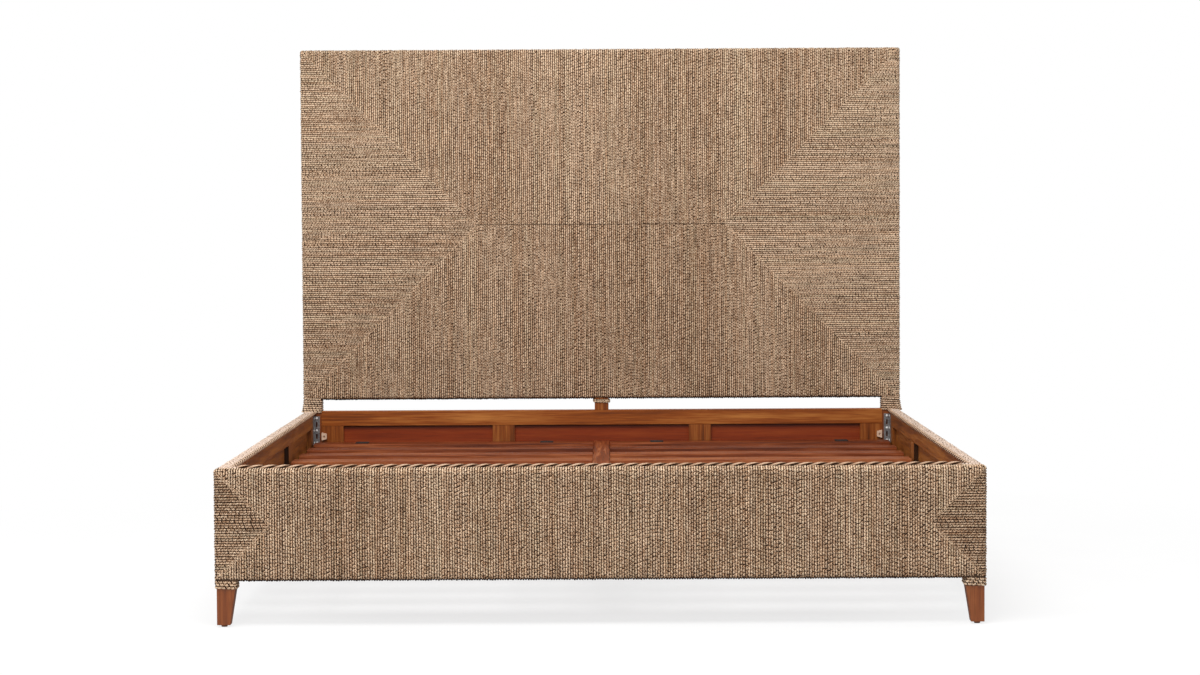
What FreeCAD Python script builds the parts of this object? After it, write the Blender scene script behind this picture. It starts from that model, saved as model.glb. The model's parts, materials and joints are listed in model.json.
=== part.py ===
import FreeCAD, Part
import math
import operator
import os
from types import SimpleNamespace

import Sketcher

# A king-size bed: hardwood frames with let-in plywood panels, covered with seagrass rope that is
# wrapped over the edges in mitred sections. Millimetres. The origin is on the floor under the middle
# of the bed, +Z is up, the foot is at -Y and the headboard at +Y.

DIMENSIONS = (
    ("bed_width", 2110.0, "over the rope, side to side"),
    ("bed_length", 2185.0, "over the rope, foot to back of headboard"),
    ("bed_height", 1707.0, "floor to top of headboard"),
    ("rope", 6.5, "thickness of the rope cover"),
    ("cover_round", 6.0, "outer edge radius of a rope cover"),
    ("arris", 2.5, "edge radius of bare wood"),
    ("head_thick", 60.0, "headboard over the rope, front to back"),
    ("head_rail_high", 80.0, "height of the headboard's own rails"),
    ("head_frame_rise", 1.0, "low head frame above the bed-rail covers"),
    ("head_gap", 38.5, "low head frame to the headboard cover"),
    ("rail_cover_base", 124.5, "floor to lower edge of the bed-rail covers"),
    ("rail_cover_high", 310.0, "height of the bed-rail covers"),
    ("rail_thick", 30.0, "thickness of the bed-rail frames, bare"),
    ("frame_rail_high", 53.0, "height of the rails within a bed-rail frame"),
    ("stile_wide", 77.0, "width of every stile"),
    ("stile_centre", 347.0, "middle of a frame to the middle of an inner stile"),
    ("panel_thick", 15.0, "plywood panels"),
    ("rebate", 10.0, "how far a panel laps its frame"),
    ("panel_gap", 0.5, "play round a panel in its rebate"),
    ("post_wide", 58.0, "corner post, bare"),
    ("leg_length", 99.0, "tapered end of a post"),
    ("leg_step", 7.0, "how far a leg is set in from the inner sides of its post"),
    ("leg_foot", 36.5, "width of a leg where it ends"),
    ("glide_wide", 19.0, "nail-on glide"),
    ("glide_high", 6.0, "height of a glide"),
    ("center_post_wide", 49.0, "post between the low head frame and the headboard"),
    ("wind_rope", 5.8, "rope wound round the posts"),
    ("wind_gap", 0.5, "between neighbouring turns"),
    ("seat_gap", 0.3, "between a wound or round piece and its seat"),
    ("collar_turns", 2, "turns above each leg"),
    ("center_turns", 1, "turns at the top of the center post"),
    ("trim_wide", 9.0, "twisted trim rope on the bed rails"),
    ("side_trim_rise", 2.0, "side trim above its cover"),
    ("back_trim_wide", 6.0, "trim rope behind the headboard"),
    ("slat_drop", 107.5, "top of the bed-rail covers to the top of the slats"),
    ("slat_thick", 20.0, "slat"),
    ("slat_wide", 90.0, "slat"),
    ("slat_rows", 10, "rows of slats"),
    ("slat_head_gap", 19.0, "last slat to the low head frame"),
    ("slat_foot_gap", 8.0, "first slat to the foot posts"),
    ("slat_side_gap", 12.0, "slat end to side rail"),
    ("slat_beam_gap", 2.0, "slat end to the rib of the center beam"),
    ("strap_wide", 45.0, "webbing strap under the slats"),
    ("strap_thick", 1.5, "webbing strap"),
    ("strap_inset", 164.5, "end of a slat to the middle of the nearest strap"),
    ("strap_fold", 30.0, "strap end folded onto the last slat"),
    ("ledger_size", 32.0, "square ledgers that carry slats and beam"),
    ("beam_wide", 54.0, "rib of the center beam"),
    ("beam_high", 80.0, "center beam"),
    ("beam_ledge", 25.0, "ledge on each side of the center beam"),
    ("support_wide", 45.0, "square legs under the center beam"),
    ("support_middle", 250.0, "middle of the bed to midway between those legs"),
    ("support_spacing", 600.0, "between those legs"),
    ("support_base", 26.0, "floor to the lower end of those legs"),
    ("leveler_wide", 40.0, "disc of a leveling foot"),
    ("leveler_disc", 8.0, "height of that disc"),
    ("leveler_stem", 10.0, "threaded stem"),
    ("leveler_grip", 26.0, "length of stem inside the leg"),
    ("leveler_travel", 15.0, "how far a leveling foot screws in"),
    ("angle_leg", 22.0, "corner angle"),
    ("angle_high", 100.0, "corner angle"),
    ("angle_thick", 2.5, "corner angle"),
    ("angle_rise", 40.5, "top of the slats to the middle of a corner angle"),
    ("slot_long", 19.0, "slot in a corner angle"),
    ("slot_wide", 5.5, "slot in a corner angle"),
    ("slot_spacing", 42.0, "between the slots of one leg"),
    ("mortise_deep", 12.0, "behind the slots, in a corner post"),
    ("screw_head", 8.0, "head of a fixing screw"),
    ("screw_dome", 2.2, "height of that head"),
    ("screw_shank", 4.0, "shank of a fixing screw"),
    ("screw_edge", 7.0, "outer screws to the ends of a corner angle"),
    ("block_wide", 17.5, "nylon block on the low head frame"),
    ("block_high", 27.0, "nylon block"),
    ("block_cut", 4.5, "how much lower its far side is, above and below"),
    ("block_deep", 14.0, "nylon block"),
    ("block_rise", 19.5, "top of the slats to the middle of a nylon block"),
    ("block_offset", 1.0, "post to the nearest edge of the nylon block"),
)

OPERATIONS = {"+": operator.add, "-": operator.sub, "*": operator.mul, "/": operator.truediv}
ZERO_STEP = 1e-6
SCREWS_PER_LEG = 3
MITRE_MARGIN = 20.0
SLOT_ROUND = 0.45
GAP_STEPS_PER_TURN = 48
VOLUME_TOLERANCE = 0.01


class Size:
    """A length as a number, and as text that the sheet's expressions understand."""

    def __init__(self, number, text):
        self.number = number
        self.text = text

    def join(self, sign, other, swapped=False):
        other = as_size(other)
        first, second = (other, self) if swapped else (self, other)
        number = OPERATIONS[sign](first.number, second.number)
        return Size(number, f"({first.text} {sign} {second.text})")

    def __add__(self, other):
        return self.join("+", other)

    def __radd__(self, other):
        return self.join("+", other, swapped=True)

    def __sub__(self, other):
        return self.join("-", other)

    def __rsub__(self, other):
        return self.join("-", other, swapped=True)

    def __mul__(self, other):
        return self.join("*", other)

    def __rmul__(self, other):
        return self.join("*", other, swapped=True)

    def __truediv__(self, other):
        return self.join("/", other)

    def __neg__(self):
        return Size(-self.number, f"(0 - {self.text})")


def as_size(value):
    return value if isinstance(value, Size) else Size(value, repr(value))


doc = FreeCAD.newDocument("RopeBed")
sheet = doc.addObject("Spreadsheet::Sheet", "Dims")
d = SimpleNamespace()
for row, (alias, number, meaning) in enumerate(DIMENSIONS, start=1):
    sheet.set(f"A{row}", meaning)
    sheet.set(f"B{row}", str(number))
    sheet.setAlias(f"B{row}", alias)
    setattr(d, alias, Size(number, f"Dims.{alias}"))
doc.recompute()

# Planes that several pieces share
rail_cover_top = d.rail_cover_base + d.rail_cover_high
head_frame_top = rail_cover_top + d.head_frame_rise
head_cover_base = head_frame_top + d.head_gap
slat_top = rail_cover_top - d.slat_drop
angle_middle = slat_top + d.angle_rise
block_middle = slat_top + d.block_rise
half_width = d.bed_width / 2
foot_front = -(d.bed_length / 2)
head_back = d.bed_length / 2
head_front = head_back - d.head_thick
wood_side = half_width - d.rope
post_inside = wood_side - d.post_wide
rail_inside = wood_side - d.rail_thick
foot_wood = foot_front + d.rope
foot_inside = foot_wood + d.rail_thick
foot_post_back = foot_wood + d.post_wide
head_wood = head_front + d.rope
head_wood_back = head_back - d.rope
head_post_deep = d.head_thick - 2 * d.rope
between_posts = 2 * post_inside
side_length = head_wood - foot_post_back
rail_base = d.rail_cover_base + d.rope
rail_top = rail_cover_top - d.rope
head_base = head_cover_base + d.rope
head_top = d.bed_height - d.rope
head_seam = (d.bed_height + head_cover_base) / 2
head_mitre = (d.bed_height - head_cover_base) / 2
foot_mitre = (rail_cover_top - d.rail_cover_base) / 2
back_lip = d.post_wide + d.rope
leg_top = d.glide_high + d.leg_length
leg_wide = d.post_wide - d.leg_step
head_leg_deep = head_post_deep - d.leg_step
slat_base = slat_top - d.slat_thick
beam_base = slat_top - d.beam_high
wind_pitch = d.wind_rope + d.wind_gap

sub_parts = {}


def bind(thing, path, length):
    thing.setExpression(path, as_size(length).text)


def named(label, thing):
    """Keeps a finished sub-part under the name of its file."""
    thing.Label = label
    sub_parts[label] = thing
    return thing


def place(thing, x=0, y=0, z=0, turn=0):
    """Puts a sub-part at x, y, z, turned about the vertical by degrees."""
    spot = [as_size(value) for value in (x, y, z)]
    corner = FreeCAD.Vector(*(value.number for value in spot))
    thing.Placement = FreeCAD.Placement(corner, FreeCAD.Rotation(FreeCAD.Vector(0, 0, 1), turn))
    for axis, value in zip("xyz", spot):
        bind(thing, f"Placement.Base.{axis}", value)
    return thing


def new_body():
    return doc.addObject("PartDesign::Body", "Body")


def group(label, members):
    """Several separate solids that share one node."""
    compound = doc.addObject("Part::Compound", "Group")
    compound.Links = members
    return named(label, compound)


def copy_of(thing):
    link = doc.addObject("App::Link", "Copy")
    link.LinkedObject = thing
    link.LinkTransform = True
    return link


def origin_feature(body, role):
    return next(item for item in body.Origin.OriginFeatures if item.Role == role)


def sketch_on(body, role, offset=None):
    """A sketch on one of the body's own planes, moved along that plane's normal by offset."""
    sketch = body.newObject("Sketcher::SketchObject", "Outline")
    sketch.AttachmentSupport = [(origin_feature(body, role), "")]
    sketch.MapMode = "FlatFace"
    if offset is not None:
        bind(sketch, "AttachmentOffset.Base.z", offset)
    return sketch


def pin(sketch, geometry, point, across, up):
    """Ties a point of the sketch to its distances from the sketch's origin."""
    for kind, length in (("DistanceX", as_size(across)), ("DistanceY", as_size(up))):
        tie = Sketcher.Constraint(kind, -1, 1, geometry, point, length.number)
        index = sketch.addConstraint(tie)
        sketch.setExpression(f"Constraints[{index}]", length.text)


def direction(start, end):
    """Signs of the step from one corner to the next, for edges along an axis."""
    signs = []
    for first, second in zip(start, end):
        step = second.number - first.number
        signs.append(0 if abs(step) < ZERO_STEP else int(math.copysign(1, step)))
    return signs


def vector(point):
    return FreeCAD.Vector(point[0].number, point[1].number, 0)


def outline(sketch, *corners):
    """Draws a closed outline. A corner is (across, up), or (across, up, radius) if it is rounded."""
    spots = [(as_size(corner[0]), as_size(corner[1])) for corner in corners]
    before = list(spots)
    after = list(spots)
    for index, corner in enumerate(corners):
        if len(corner) == 3:
            radius = as_size(corner[2])
            arrive = direction(spots[index - 1], spots[index])
            leave = direction(spots[index], spots[(index + 1) % len(spots)])
            before[index] = tuple(spot - radius * sign for spot, sign in zip(spots[index], arrive))
            after[index] = tuple(spot + radius * sign for spot, sign in zip(spots[index], leave))
    lines = []
    for index in range(len(spots)):
        end = before[(index + 1) % len(spots)]
        lines.append(sketch.addGeometry(Part.LineSegment(vector(after[index]), vector(end))))
    for index, corner in enumerate(corners):
        pin(sketch, lines[index], 1, *after[index])
        if len(corner) == 2:
            sketch.addConstraint(Sketcher.Constraint("Coincident", lines[index - 1], 2, lines[index], 1))
            continue
        pin(sketch, lines[index - 1], 2, *before[index])
        round_corner(sketch, lines[index - 1], lines[index], spots[index], as_size(corner[2]))


def round_corner(sketch, arriving, leaving, corner, radius):
    """Joins two lines of an outline with an arc that is tangent to both."""
    start = sketch.getPoint(arriving, 2)
    end = sketch.getPoint(leaving, 1)
    centre = start + end - vector(corner)
    middle = centre + (vector(corner) - centre).normalize() * radius.number
    arc = sketch.addGeometry(Part.Arc(start, middle, end))
    first, last = (1, 2) if sketch.getPoint(arc, 1).distanceToPoint(start) < ZERO_STEP else (2, 1)
    sketch.addConstraint(Sketcher.Constraint("Coincident", arriving, 2, arc, first))
    sketch.addConstraint(Sketcher.Constraint("Coincident", leaving, 1, arc, last))
    index = sketch.addConstraint(Sketcher.Constraint("Radius", arc, radius.number))
    sketch.setExpression(f"Constraints[{index}]", radius.text)


def rectangle(sketch, left, right, low, high, radius=None):
    extra = () if radius is None else (radius,)
    outline(sketch, (left, low, *extra), (right, low, *extra), (right, high, *extra), (left, high, *extra))


def circle(sketch, across, up, radius):
    across, up, radius = as_size(across), as_size(up), as_size(radius)
    ring = Part.Circle(vector((across, up)), FreeCAD.Vector(0, 0, 1), radius.number)
    geometry = sketch.addGeometry(ring)
    pin(sketch, geometry, 3, across, up)
    index = sketch.addConstraint(Sketcher.Constraint("Radius", geometry, radius.number))
    sketch.setExpression(f"Constraints[{index}]", radius.text)


def pad(body, sketch, length, both_ways=False, reverse=False):
    feature = body.newObject("PartDesign::Pad", "Pad")
    feature.Profile = sketch
    feature.Midplane = both_ways
    feature.Reversed = reverse
    bind(feature, "Length", length)
    return feature


def pocket(body, sketch, length=None, reverse=False):
    """Cuts a sketch out of the body: to a depth, or right through both ways."""
    feature = body.newObject("PartDesign::Pocket", "Pocket")
    feature.Profile = sketch
    feature.Reversed = reverse
    if length is None:
        feature.Type = "ThroughAll"
        feature.Midplane = True
    else:
        bind(feature, "Length", length)
    return feature


def revolve(body, sketch):
    feature = body.newObject("PartDesign::Revolution", "Revolution")
    feature.Profile = sketch
    feature.ReferenceAxis = (sketch, ["V_Axis"])
    feature.Angle = 360
    return feature


def repeat(body, feature, role, length, count, reverse=False):
    """A row of count copies along one of the body's axes, length from first to last."""
    pattern = body.newObject("PartDesign::LinearPattern", "Row")
    pattern.Originals = [feature]
    pattern.Direction = (origin_feature(body, role), [""])
    pattern.Reversed = reverse
    bind(pattern, "Length", length)
    bind(pattern, "Occurrences", count)
    body.Tip = pattern
    return pattern


# Frames with let-in panels. In its own frame a panel frame runs along X about the middle, its inside
# face is at Y = 0, its panels are flush with the far side, and it stands on Z = 0.


def frame_rail(label, pose, length, thick, low, high, laps_below, laps_above):
    """A rail with a rebate along each edge that holds panels."""
    shoulder = thick - d.panel_thick
    corners = [(0, low, d.arris)]
    if laps_below:
        corners += [(shoulder, low), (shoulder, low + d.rebate), (thick, low + d.rebate)]
    else:
        corners += [(thick, low)]
    if laps_above:
        corners += [(thick, high - d.rebate), (shoulder, high - d.rebate), (shoulder, high)]
    else:
        corners += [(thick, high)]
    corners += [(0, high, d.arris)]
    body = new_body()
    section = sketch_on(body, "YZ_Plane")
    outline(section, *corners)
    pad(body, section, length, both_ways=True)
    named(label, place(body, **pose))


def frame_stile(pose, thick, left, right, low, high, laps_left, laps_right):
    """A stile between two rails: its back half is narrower for the panels and laps the rails."""
    shoulder = thick - d.panel_thick
    body = new_body()
    face = sketch_on(body, "XZ_Plane")
    rectangle(face, left, right, low, high)
    pad(body, face, shoulder, reverse=True)
    back = sketch_on(body, "XZ_Plane", -shoulder)
    back_left = left + d.rebate if laps_left else left
    back_right = right - d.rebate if laps_right else right
    rectangle(back, back_left, back_right, low - d.rebate, high + d.rebate)
    pad(body, back, d.panel_thick, reverse=True)
    return place(body, **pose)


def frame_panel(pose, thick, left, right, low, high):
    """A plywood panel that fills an opening and laps the rebates round it."""
    lap = d.rebate - d.panel_gap
    body = new_body()
    face = sketch_on(body, "XZ_Plane", d.panel_thick - thick)
    rectangle(face, left - lap, right + lap, low - lap, high + lap)
    pad(body, face, d.panel_thick, reverse=True)
    return place(body, **pose)


def panel_frame(prefix, pose, length, thick, rails):
    """Rails are (name, low, high), from the bottom up, with stiles and panels between them."""
    last = len(rails) - 1
    for index, (name, low, high) in enumerate(rails):
        frame_rail(f"{prefix}_{name}", pose, length, thick, low, high, index > 0, index < last)
    half = length / 2
    half_stile = d.stile_wide / 2
    columns = (
        (-half, d.stile_wide - half),
        (-d.stile_centre - half_stile, half_stile - d.stile_centre),
        (d.stile_centre - half_stile, d.stile_centre + half_stile),
        (half - d.stile_wide, half),
    )
    stiles = []
    panels = []
    for lower, upper in zip(rails, rails[1:]):
        low = lower[2]
        high = upper[1]
        for index, (left, right) in enumerate(columns):
            laps = (index > 0, index < len(columns) - 1)
            stiles.append(frame_stile(pose, thick, left, right, low, high, *laps))
        for before, behind in zip(columns, columns[1:]):
            panels.append(frame_panel(pose, thick, before[1], behind[0], low, high))
    group(f"{prefix}_stiles", stiles)
    group(f"{prefix}_panels", panels)


def two_rails(height):
    return (
        ("bottom_rail", as_size(0), d.frame_rail_high),
        ("top_rail", height - d.frame_rail_high, height),
    )


bed_rail_high = rail_top - rail_base
headboard_high = head_top - head_base
headboard_rails = (
    ("bottom_rail", as_size(0), d.head_rail_high),
    ("middle_rail", (headboard_high - d.head_rail_high) / 2, (headboard_high + d.head_rail_high) / 2),
    ("top_rail", headboard_high - d.head_rail_high, headboard_high),
)
side_middle = (head_wood + foot_post_back) / 2
left_pose = {"x": -rail_inside, "y": side_middle, "z": rail_base, "turn": 90}
right_pose = {"x": rail_inside, "y": side_middle, "z": rail_base, "turn": -90}
foot_pose = {"y": foot_inside, "z": rail_base, "turn": 180}
head_pose = {"y": head_wood, "z": rail_base}
headboard_pose = {"y": head_wood_back, "z": head_base, "turn": 180}
panel_frame("side_frame_left", left_pose, side_length, d.rail_thick, two_rails(bed_rail_high))
panel_frame("side_frame_right", right_pose, side_length, d.rail_thick, two_rails(bed_rail_high))
panel_frame("foot_frame", foot_pose, between_posts, d.rail_thick, two_rails(bed_rail_high))
panel_frame("head_frame", head_pose, between_posts, d.rail_thick, two_rails(head_frame_top - rail_base))
panel_frame("headboard", headboard_pose, between_posts, head_post_deep, headboard_rails)


# Corner posts. The outer faces of a post run straight down, and its leg tapers on the two inner sides.


def angle_slots(sketch, across, level):
    """The two slots in one leg of a corner angle, above and below its middle."""
    half = d.slot_wide / 2
    for sign in (-1, 1):
        middle = level + d.slot_spacing / 2 * sign
        low = middle - d.slot_long / 2
        high = middle + d.slot_long / 2
        rectangle(sketch, across - half, across + half, low, high, d.slot_wide * SLOT_ROUND)


def corner_post(label, side, end, outer_end, deep, leg_deep, top):
    """side and end are the signs of the outer corner's X and Y."""
    body = new_body()
    outer = wood_side * side

    def section(level, wide, long):
        """The post's outline at a level, from its outer corner inwards."""
        across = sorted((outer, outer - wide * side), key=lambda size: size.number)
        along = sorted((outer_end, outer_end - long * end), key=lambda size: size.number)
        sketch = sketch_on(body, "XY_Plane", level)
        rectangle(sketch, *across, *along, d.arris)
        return sketch

    pad(body, section(d.rail_cover_base, d.post_wide, deep), top - d.rail_cover_base)
    pad(body, section(leg_top, leg_wide, leg_deep), d.rail_cover_base - leg_top)
    taper = body.newObject("PartDesign::AdditiveLoft", "Leg")
    taper.Profile = section(d.glide_high, d.leg_foot, d.leg_foot)
    taper.Sections = [section(leg_top, leg_wide, leg_deep)]
    taper.Ruled = True
    mortises = sketch_on(body, "XZ_Plane", deep * end - outer_end)
    angle_slots(mortises, (rail_inside - d.angle_leg / 2) * side, angle_middle)
    pocket(body, mortises, d.mortise_deep, reverse=end < 0)
    named(label, body)


corner_post("foot_post_left", -1, -1, foot_wood, d.post_wide, leg_wide, rail_top)
corner_post("foot_post_right", 1, -1, foot_wood, d.post_wide, leg_wide, rail_top)
corner_post("head_post_left", -1, 1, head_wood_back, head_post_deep, head_leg_deep, head_top)
corner_post("head_post_right", 1, 1, head_wood_back, head_post_deep, head_leg_deep, head_top)

center_body = new_body()
center_section = sketch_on(center_body, "XY_Plane", head_frame_top)
center_half = d.center_post_wide / 2
rectangle(center_section, -center_half, center_half, head_wood, head_wood + d.rail_thick, d.arris)
pad(center_body, center_section, head_base - head_frame_top)
named("headboard_center_post", center_body)

leg_spots = []
for end_sign, leg_end in ((-1, foot_wood), (1, head_wood_back)):
    for side_sign in (-1, 1):
        middle_in = d.leg_foot / 2
        leg_spots.append(((wood_side - middle_in) * side_sign, leg_end - middle_in * end_sign))

glides = []
for spot_x, spot_y in leg_spots:
    glide = doc.addObject("Part::Cone", "Glide")
    bind(glide, "Radius1", d.glide_wide / 2 - d.glide_high / 4)
    bind(glide, "Radius2", d.glide_wide / 2)
    bind(glide, "Height", d.glide_high)
    glides.append(place(glide, spot_x, spot_y, 0))
group("glides", glides)


# Rope covers. Each runs over the edges of its frame, and neighbours meet on mitres from the corners.


def mitre(sketch, corner_x, corner_z, reach, side, up):
    """The triangle beyond a mitre that starts at a corner and runs inwards for reach."""
    out_x = corner_x + MITRE_MARGIN * side
    past_z = corner_z - (reach + MITRE_MARGIN) * up
    in_x = corner_x - (reach + MITRE_MARGIN) * side
    outline(sketch, (out_x, corner_z + MITRE_MARGIN * up), (in_x, past_z), (out_x, past_z))


def headboard_field_top():
    body = new_body()
    hook = sketch_on(body, "YZ_Plane")
    outline(
        hook,
        (head_front, head_seam),
        (head_wood, head_seam),
        (head_wood, head_top),
        (head_wood_back, head_top),
        (head_wood_back, d.bed_height - back_lip),
        (head_back, d.bed_height - back_lip),
        (head_back, d.bed_height, d.cover_round),
        (head_front, d.bed_height, d.cover_round),
    )
    pad(body, hook, d.bed_width, both_ways=True)
    ends = sketch_on(body, "XZ_Plane")
    for side in (-1, 1):
        mitre(ends, half_width * side, d.bed_height, head_mitre, side, 1)
    pocket(body, ends)
    named("headboard_weave_top", body)


def headboard_field_bottom():
    body = new_body()
    face = sketch_on(body, "YZ_Plane")
    rectangle(face, head_front, head_wood, head_cover_base, head_seam)
    pad(body, face, d.bed_width, both_ways=True)
    ends = sketch_on(body, "XZ_Plane")
    for side in (-1, 1):
        mitre(ends, half_width * side, head_cover_base, head_mitre, side, -1)
    pocket(body, ends)
    hook = sketch_on(body, "YZ_Plane")
    outline(
        hook,
        (head_wood, head_cover_base),
        (head_back, head_cover_base, d.cover_round),
        (head_back, head_cover_base + back_lip),
        (head_wood_back, head_cover_base + back_lip),
        (head_wood_back, head_base),
        (head_wood, head_base),
    )
    pad(body, hook, between_posts, both_ways=True)
    notch = sketch_on(body, "XY_Plane", head_cover_base)
    reach = center_half + d.seat_gap
    rectangle(notch, -reach, reach, head_wood, head_wood + d.rail_thick + d.seat_gap)
    pocket(body, notch, d.rope, reverse=True)
    named("headboard_weave_bottom", body)


def headboard_gore(label, side):
    """The side section, round the outer edge of a post and onto its back."""
    body = new_body()
    outer = half_width * side
    bare = wood_side * side
    apex = (half_width - head_mitre) * side
    lip_end = post_inside * side
    hook = sketch_on(body, "XY_Plane", head_cover_base)
    outline(
        hook,
        (apex, head_front),
        (outer, head_front, d.cover_round),
        (outer, head_back, d.cover_round),
        (lip_end, head_back),
        (lip_end, head_wood_back),
        (bare, head_wood_back),
        (bare, head_wood),
        (apex, head_wood),
    )
    pad(body, hook, d.bed_height - head_cover_base)
    inner = apex - MITRE_MARGIN * side
    beyond = outer + MITRE_MARGIN * side
    top = sketch_on(body, "XZ_Plane")
    outline(
        top,
        (beyond, d.bed_height + MITRE_MARGIN),
        (inner, d.bed_height + MITRE_MARGIN),
        (inner, head_seam - MITRE_MARGIN),
    )
    pocket(body, top)
    low = sketch_on(body, "XZ_Plane", -head_front)
    outline(
        low,
        (beyond, head_cover_base - MITRE_MARGIN),
        (inner, head_cover_base - MITRE_MARGIN),
        (inner, head_seam + MITRE_MARGIN),
    )
    pocket(body, low, d.rope)
    named(label, body)


def foot_field():
    body = new_body()
    face = sketch_on(body, "YZ_Plane")
    rectangle(face, foot_front, foot_wood, d.rail_cover_base, rail_top)
    pad(body, face, d.bed_width, both_ways=True)
    ends = sketch_on(body, "XZ_Plane")
    for side in (-1, 1):
        edge = half_width * side
        tip = (half_width - foot_mitre) * side
        beyond = edge + MITRE_MARGIN * side
        middle = (rail_cover_top + d.rail_cover_base) / 2
        outline(
            ends,
            (beyond, rail_cover_top + MITRE_MARGIN),
            (tip, middle),
            (beyond, d.rail_cover_base - MITRE_MARGIN),
        )
    pocket(body, ends)
    cap = sketch_on(body, "YZ_Plane")
    outline(
        cap,
        (foot_front, rail_top),
        (foot_inside, rail_top),
        (foot_inside, rail_cover_top),
        (foot_front, rail_cover_top, d.cover_round),
    )
    pad(body, cap, d.bed_width, both_ways=True)
    sole = sketch_on(body, "YZ_Plane")
    rectangle(sole, foot_wood, foot_inside, d.rail_cover_base, rail_base)
    pad(body, sole, between_posts, both_ways=True)
    named("foot_weave_field", body)


def foot_gore(label, side):
    """The end section of the foot, round the corner and along the side of the post."""
    body = new_body()
    outer = half_width * side
    bare = wood_side * side
    apex = (half_width - foot_mitre) * side
    bend = sketch_on(body, "XY_Plane", d.rail_cover_base)
    outline(
        bend,
        (apex, foot_front),
        (outer, foot_front, d.cover_round),
        (outer, foot_post_back),
        (bare, foot_post_back),
        (bare, foot_wood),
        (apex, foot_wood),
    )
    pad(body, bend, rail_top - d.rail_cover_base)
    cuts = sketch_on(body, "XZ_Plane", -foot_front)
    inner = apex - MITRE_MARGIN * side
    beyond = outer + MITRE_MARGIN * side
    middle = (rail_cover_top + d.rail_cover_base) / 2
    for edge, sign in ((rail_cover_top, 1), (d.rail_cover_base, -1)):
        past = edge + MITRE_MARGIN * sign
        outline(cuts, (beyond, past), (inner, past), (inner, middle), (apex, middle))
    pocket(body, cuts, d.rope)
    named(label, body)


def side_cover(label, side):
    """Over the outside, top and bottom of a side frame, and forward over the top of the foot post."""
    body = new_body()
    outer = half_width * side
    bare = wood_side * side
    inner = rail_inside * side
    wrap = sketch_on(body, "XZ_Plane", -foot_post_back)
    outline(
        wrap,
        (inner, d.rail_cover_base),
        (outer, d.rail_cover_base, d.cover_round),
        (outer, rail_cover_top, d.cover_round),
        (inner, rail_cover_top),
        (inner, rail_top),
        (bare, rail_top),
        (bare, rail_base),
        (inner, rail_base),
    )
    pad(body, wrap, side_length, reverse=True)
    cap = sketch_on(body, "XZ_Plane", -foot_inside)
    cap_end = post_inside * side
    outline(
        cap,
        (cap_end, rail_top),
        (outer, rail_top),
        (outer, rail_cover_top, d.cover_round),
        (cap_end, rail_cover_top),
    )
    pad(body, cap, foot_post_back - foot_inside, reverse=True)
    named(label, body)


def post_cover(label, side):
    """Behind and beside a head post, from the bed rail's lower edge to its top."""
    body = new_body()
    outer = half_width * side
    bare = wood_side * side
    inner = post_inside * side
    bend = sketch_on(body, "XY_Plane", d.rail_cover_base)
    outline(
        bend,
        (bare, head_wood),
        (outer, head_wood),
        (outer, head_back, d.cover_round),
        (inner, head_back),
        (inner, head_wood_back),
        (bare, head_wood_back),
    )
    pad(body, bend, rail_cover_top - d.rail_cover_base)
    named(label, body)


headboard_field_top()
headboard_field_bottom()
foot_field()
for side_name, side_sign in (("left", -1), ("right", 1)):
    headboard_gore(f"headboard_weave_{side_name}", side_sign)
    foot_gore(f"foot_weave_{side_name}", side_sign)
    side_cover(f"side_weave_{side_name}", side_sign)
    post_cover(f"head_post_cover_{side_name}", side_sign)


# Rope wound round the posts: straight runs along the faces, joined by tangent arcs at the corners.


def rounded_path(points, radius):
    edges = []
    start = points[0]
    for previous, corner, following in zip(points, points[1:], points[2:]):
        arrive = (corner - previous).normalize()
        leave = (following - corner).normalize()
        half_turn = arrive.getAngle(leave) / 2
        cut = radius * math.tan(half_turn)
        sagitta = radius / math.cos(half_turn) - radius
        bend_start = corner - arrive * cut
        bend_end = corner + leave * cut
        inward = (leave - arrive).normalize()
        edges.append(Part.LineSegment(start, bend_start).toShape())
        edges.append(Part.Arc(bend_start, corner + inward * sagitta, bend_end).toShape())
        start = bend_end
    edges.append(Part.LineSegment(start, points[-1]).toShape())
    return Part.Wire(edges)


def least_gap(path, turns, thick):
    """Closest approach of one turn to the next, between sampled points of the path."""
    points = path.discretize(Number=GAP_STEPS_PER_TURN * turns + 1)
    skip = GAP_STEPS_PER_TURN // 2
    pairs = ((a, b) for index, a in enumerate(points) for b in points[index + skip :])
    return min(a.distanceToPoint(b) for a, b in pairs) - thick


def winding(label, wide, deep, turns, x, y, z):
    """One unbroken rope wound round a post of the given section, starting at height z."""
    thick = d.wind_rope.number
    pitch = wind_pitch.number
    off = d.seat_gap.number + thick / 2
    half_x = wide.number / 2 + off
    half_y = deep.number / 2 + off
    corners = ((half_x, half_y), (half_x, -half_y), (-half_x, -half_y), (-half_x, half_y))
    points = [FreeCAD.Vector(0, half_y, thick / 2)]
    for step in range(4 * turns):
        across, along = corners[step % 4]
        rise = pitch * (step + 0.5) / 4
        points.append(FreeCAD.Vector(across, along, thick / 2 + rise))
    points.append(FreeCAD.Vector(0, half_y, thick / 2 + pitch * turns))
    path = rounded_path(points, off + d.arris.number)
    start = points[0]
    ring = Part.Circle(start, points[1] - start, thick / 2).toShape()
    tube = path.makePipeShell([Part.Wire([ring])], True, False)
    expected = math.pi * thick**2 / 4 * path.Length
    if abs(tube.Volume / expected - 1) > VOLUME_TOLERANCE:
        raise RuntimeError(f"{label}: the rope's volume is off")
    if turns > 1:
        print(f"{label}: least gap between turns {least_gap(path, turns, thick):.2f} mm")
    feature = doc.addObject("Part::Feature", "Winding")
    feature.Shape = tube
    return place(feature, x, y, z)


def wound_height(turns):
    return wind_pitch * turns + d.wind_rope


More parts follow.
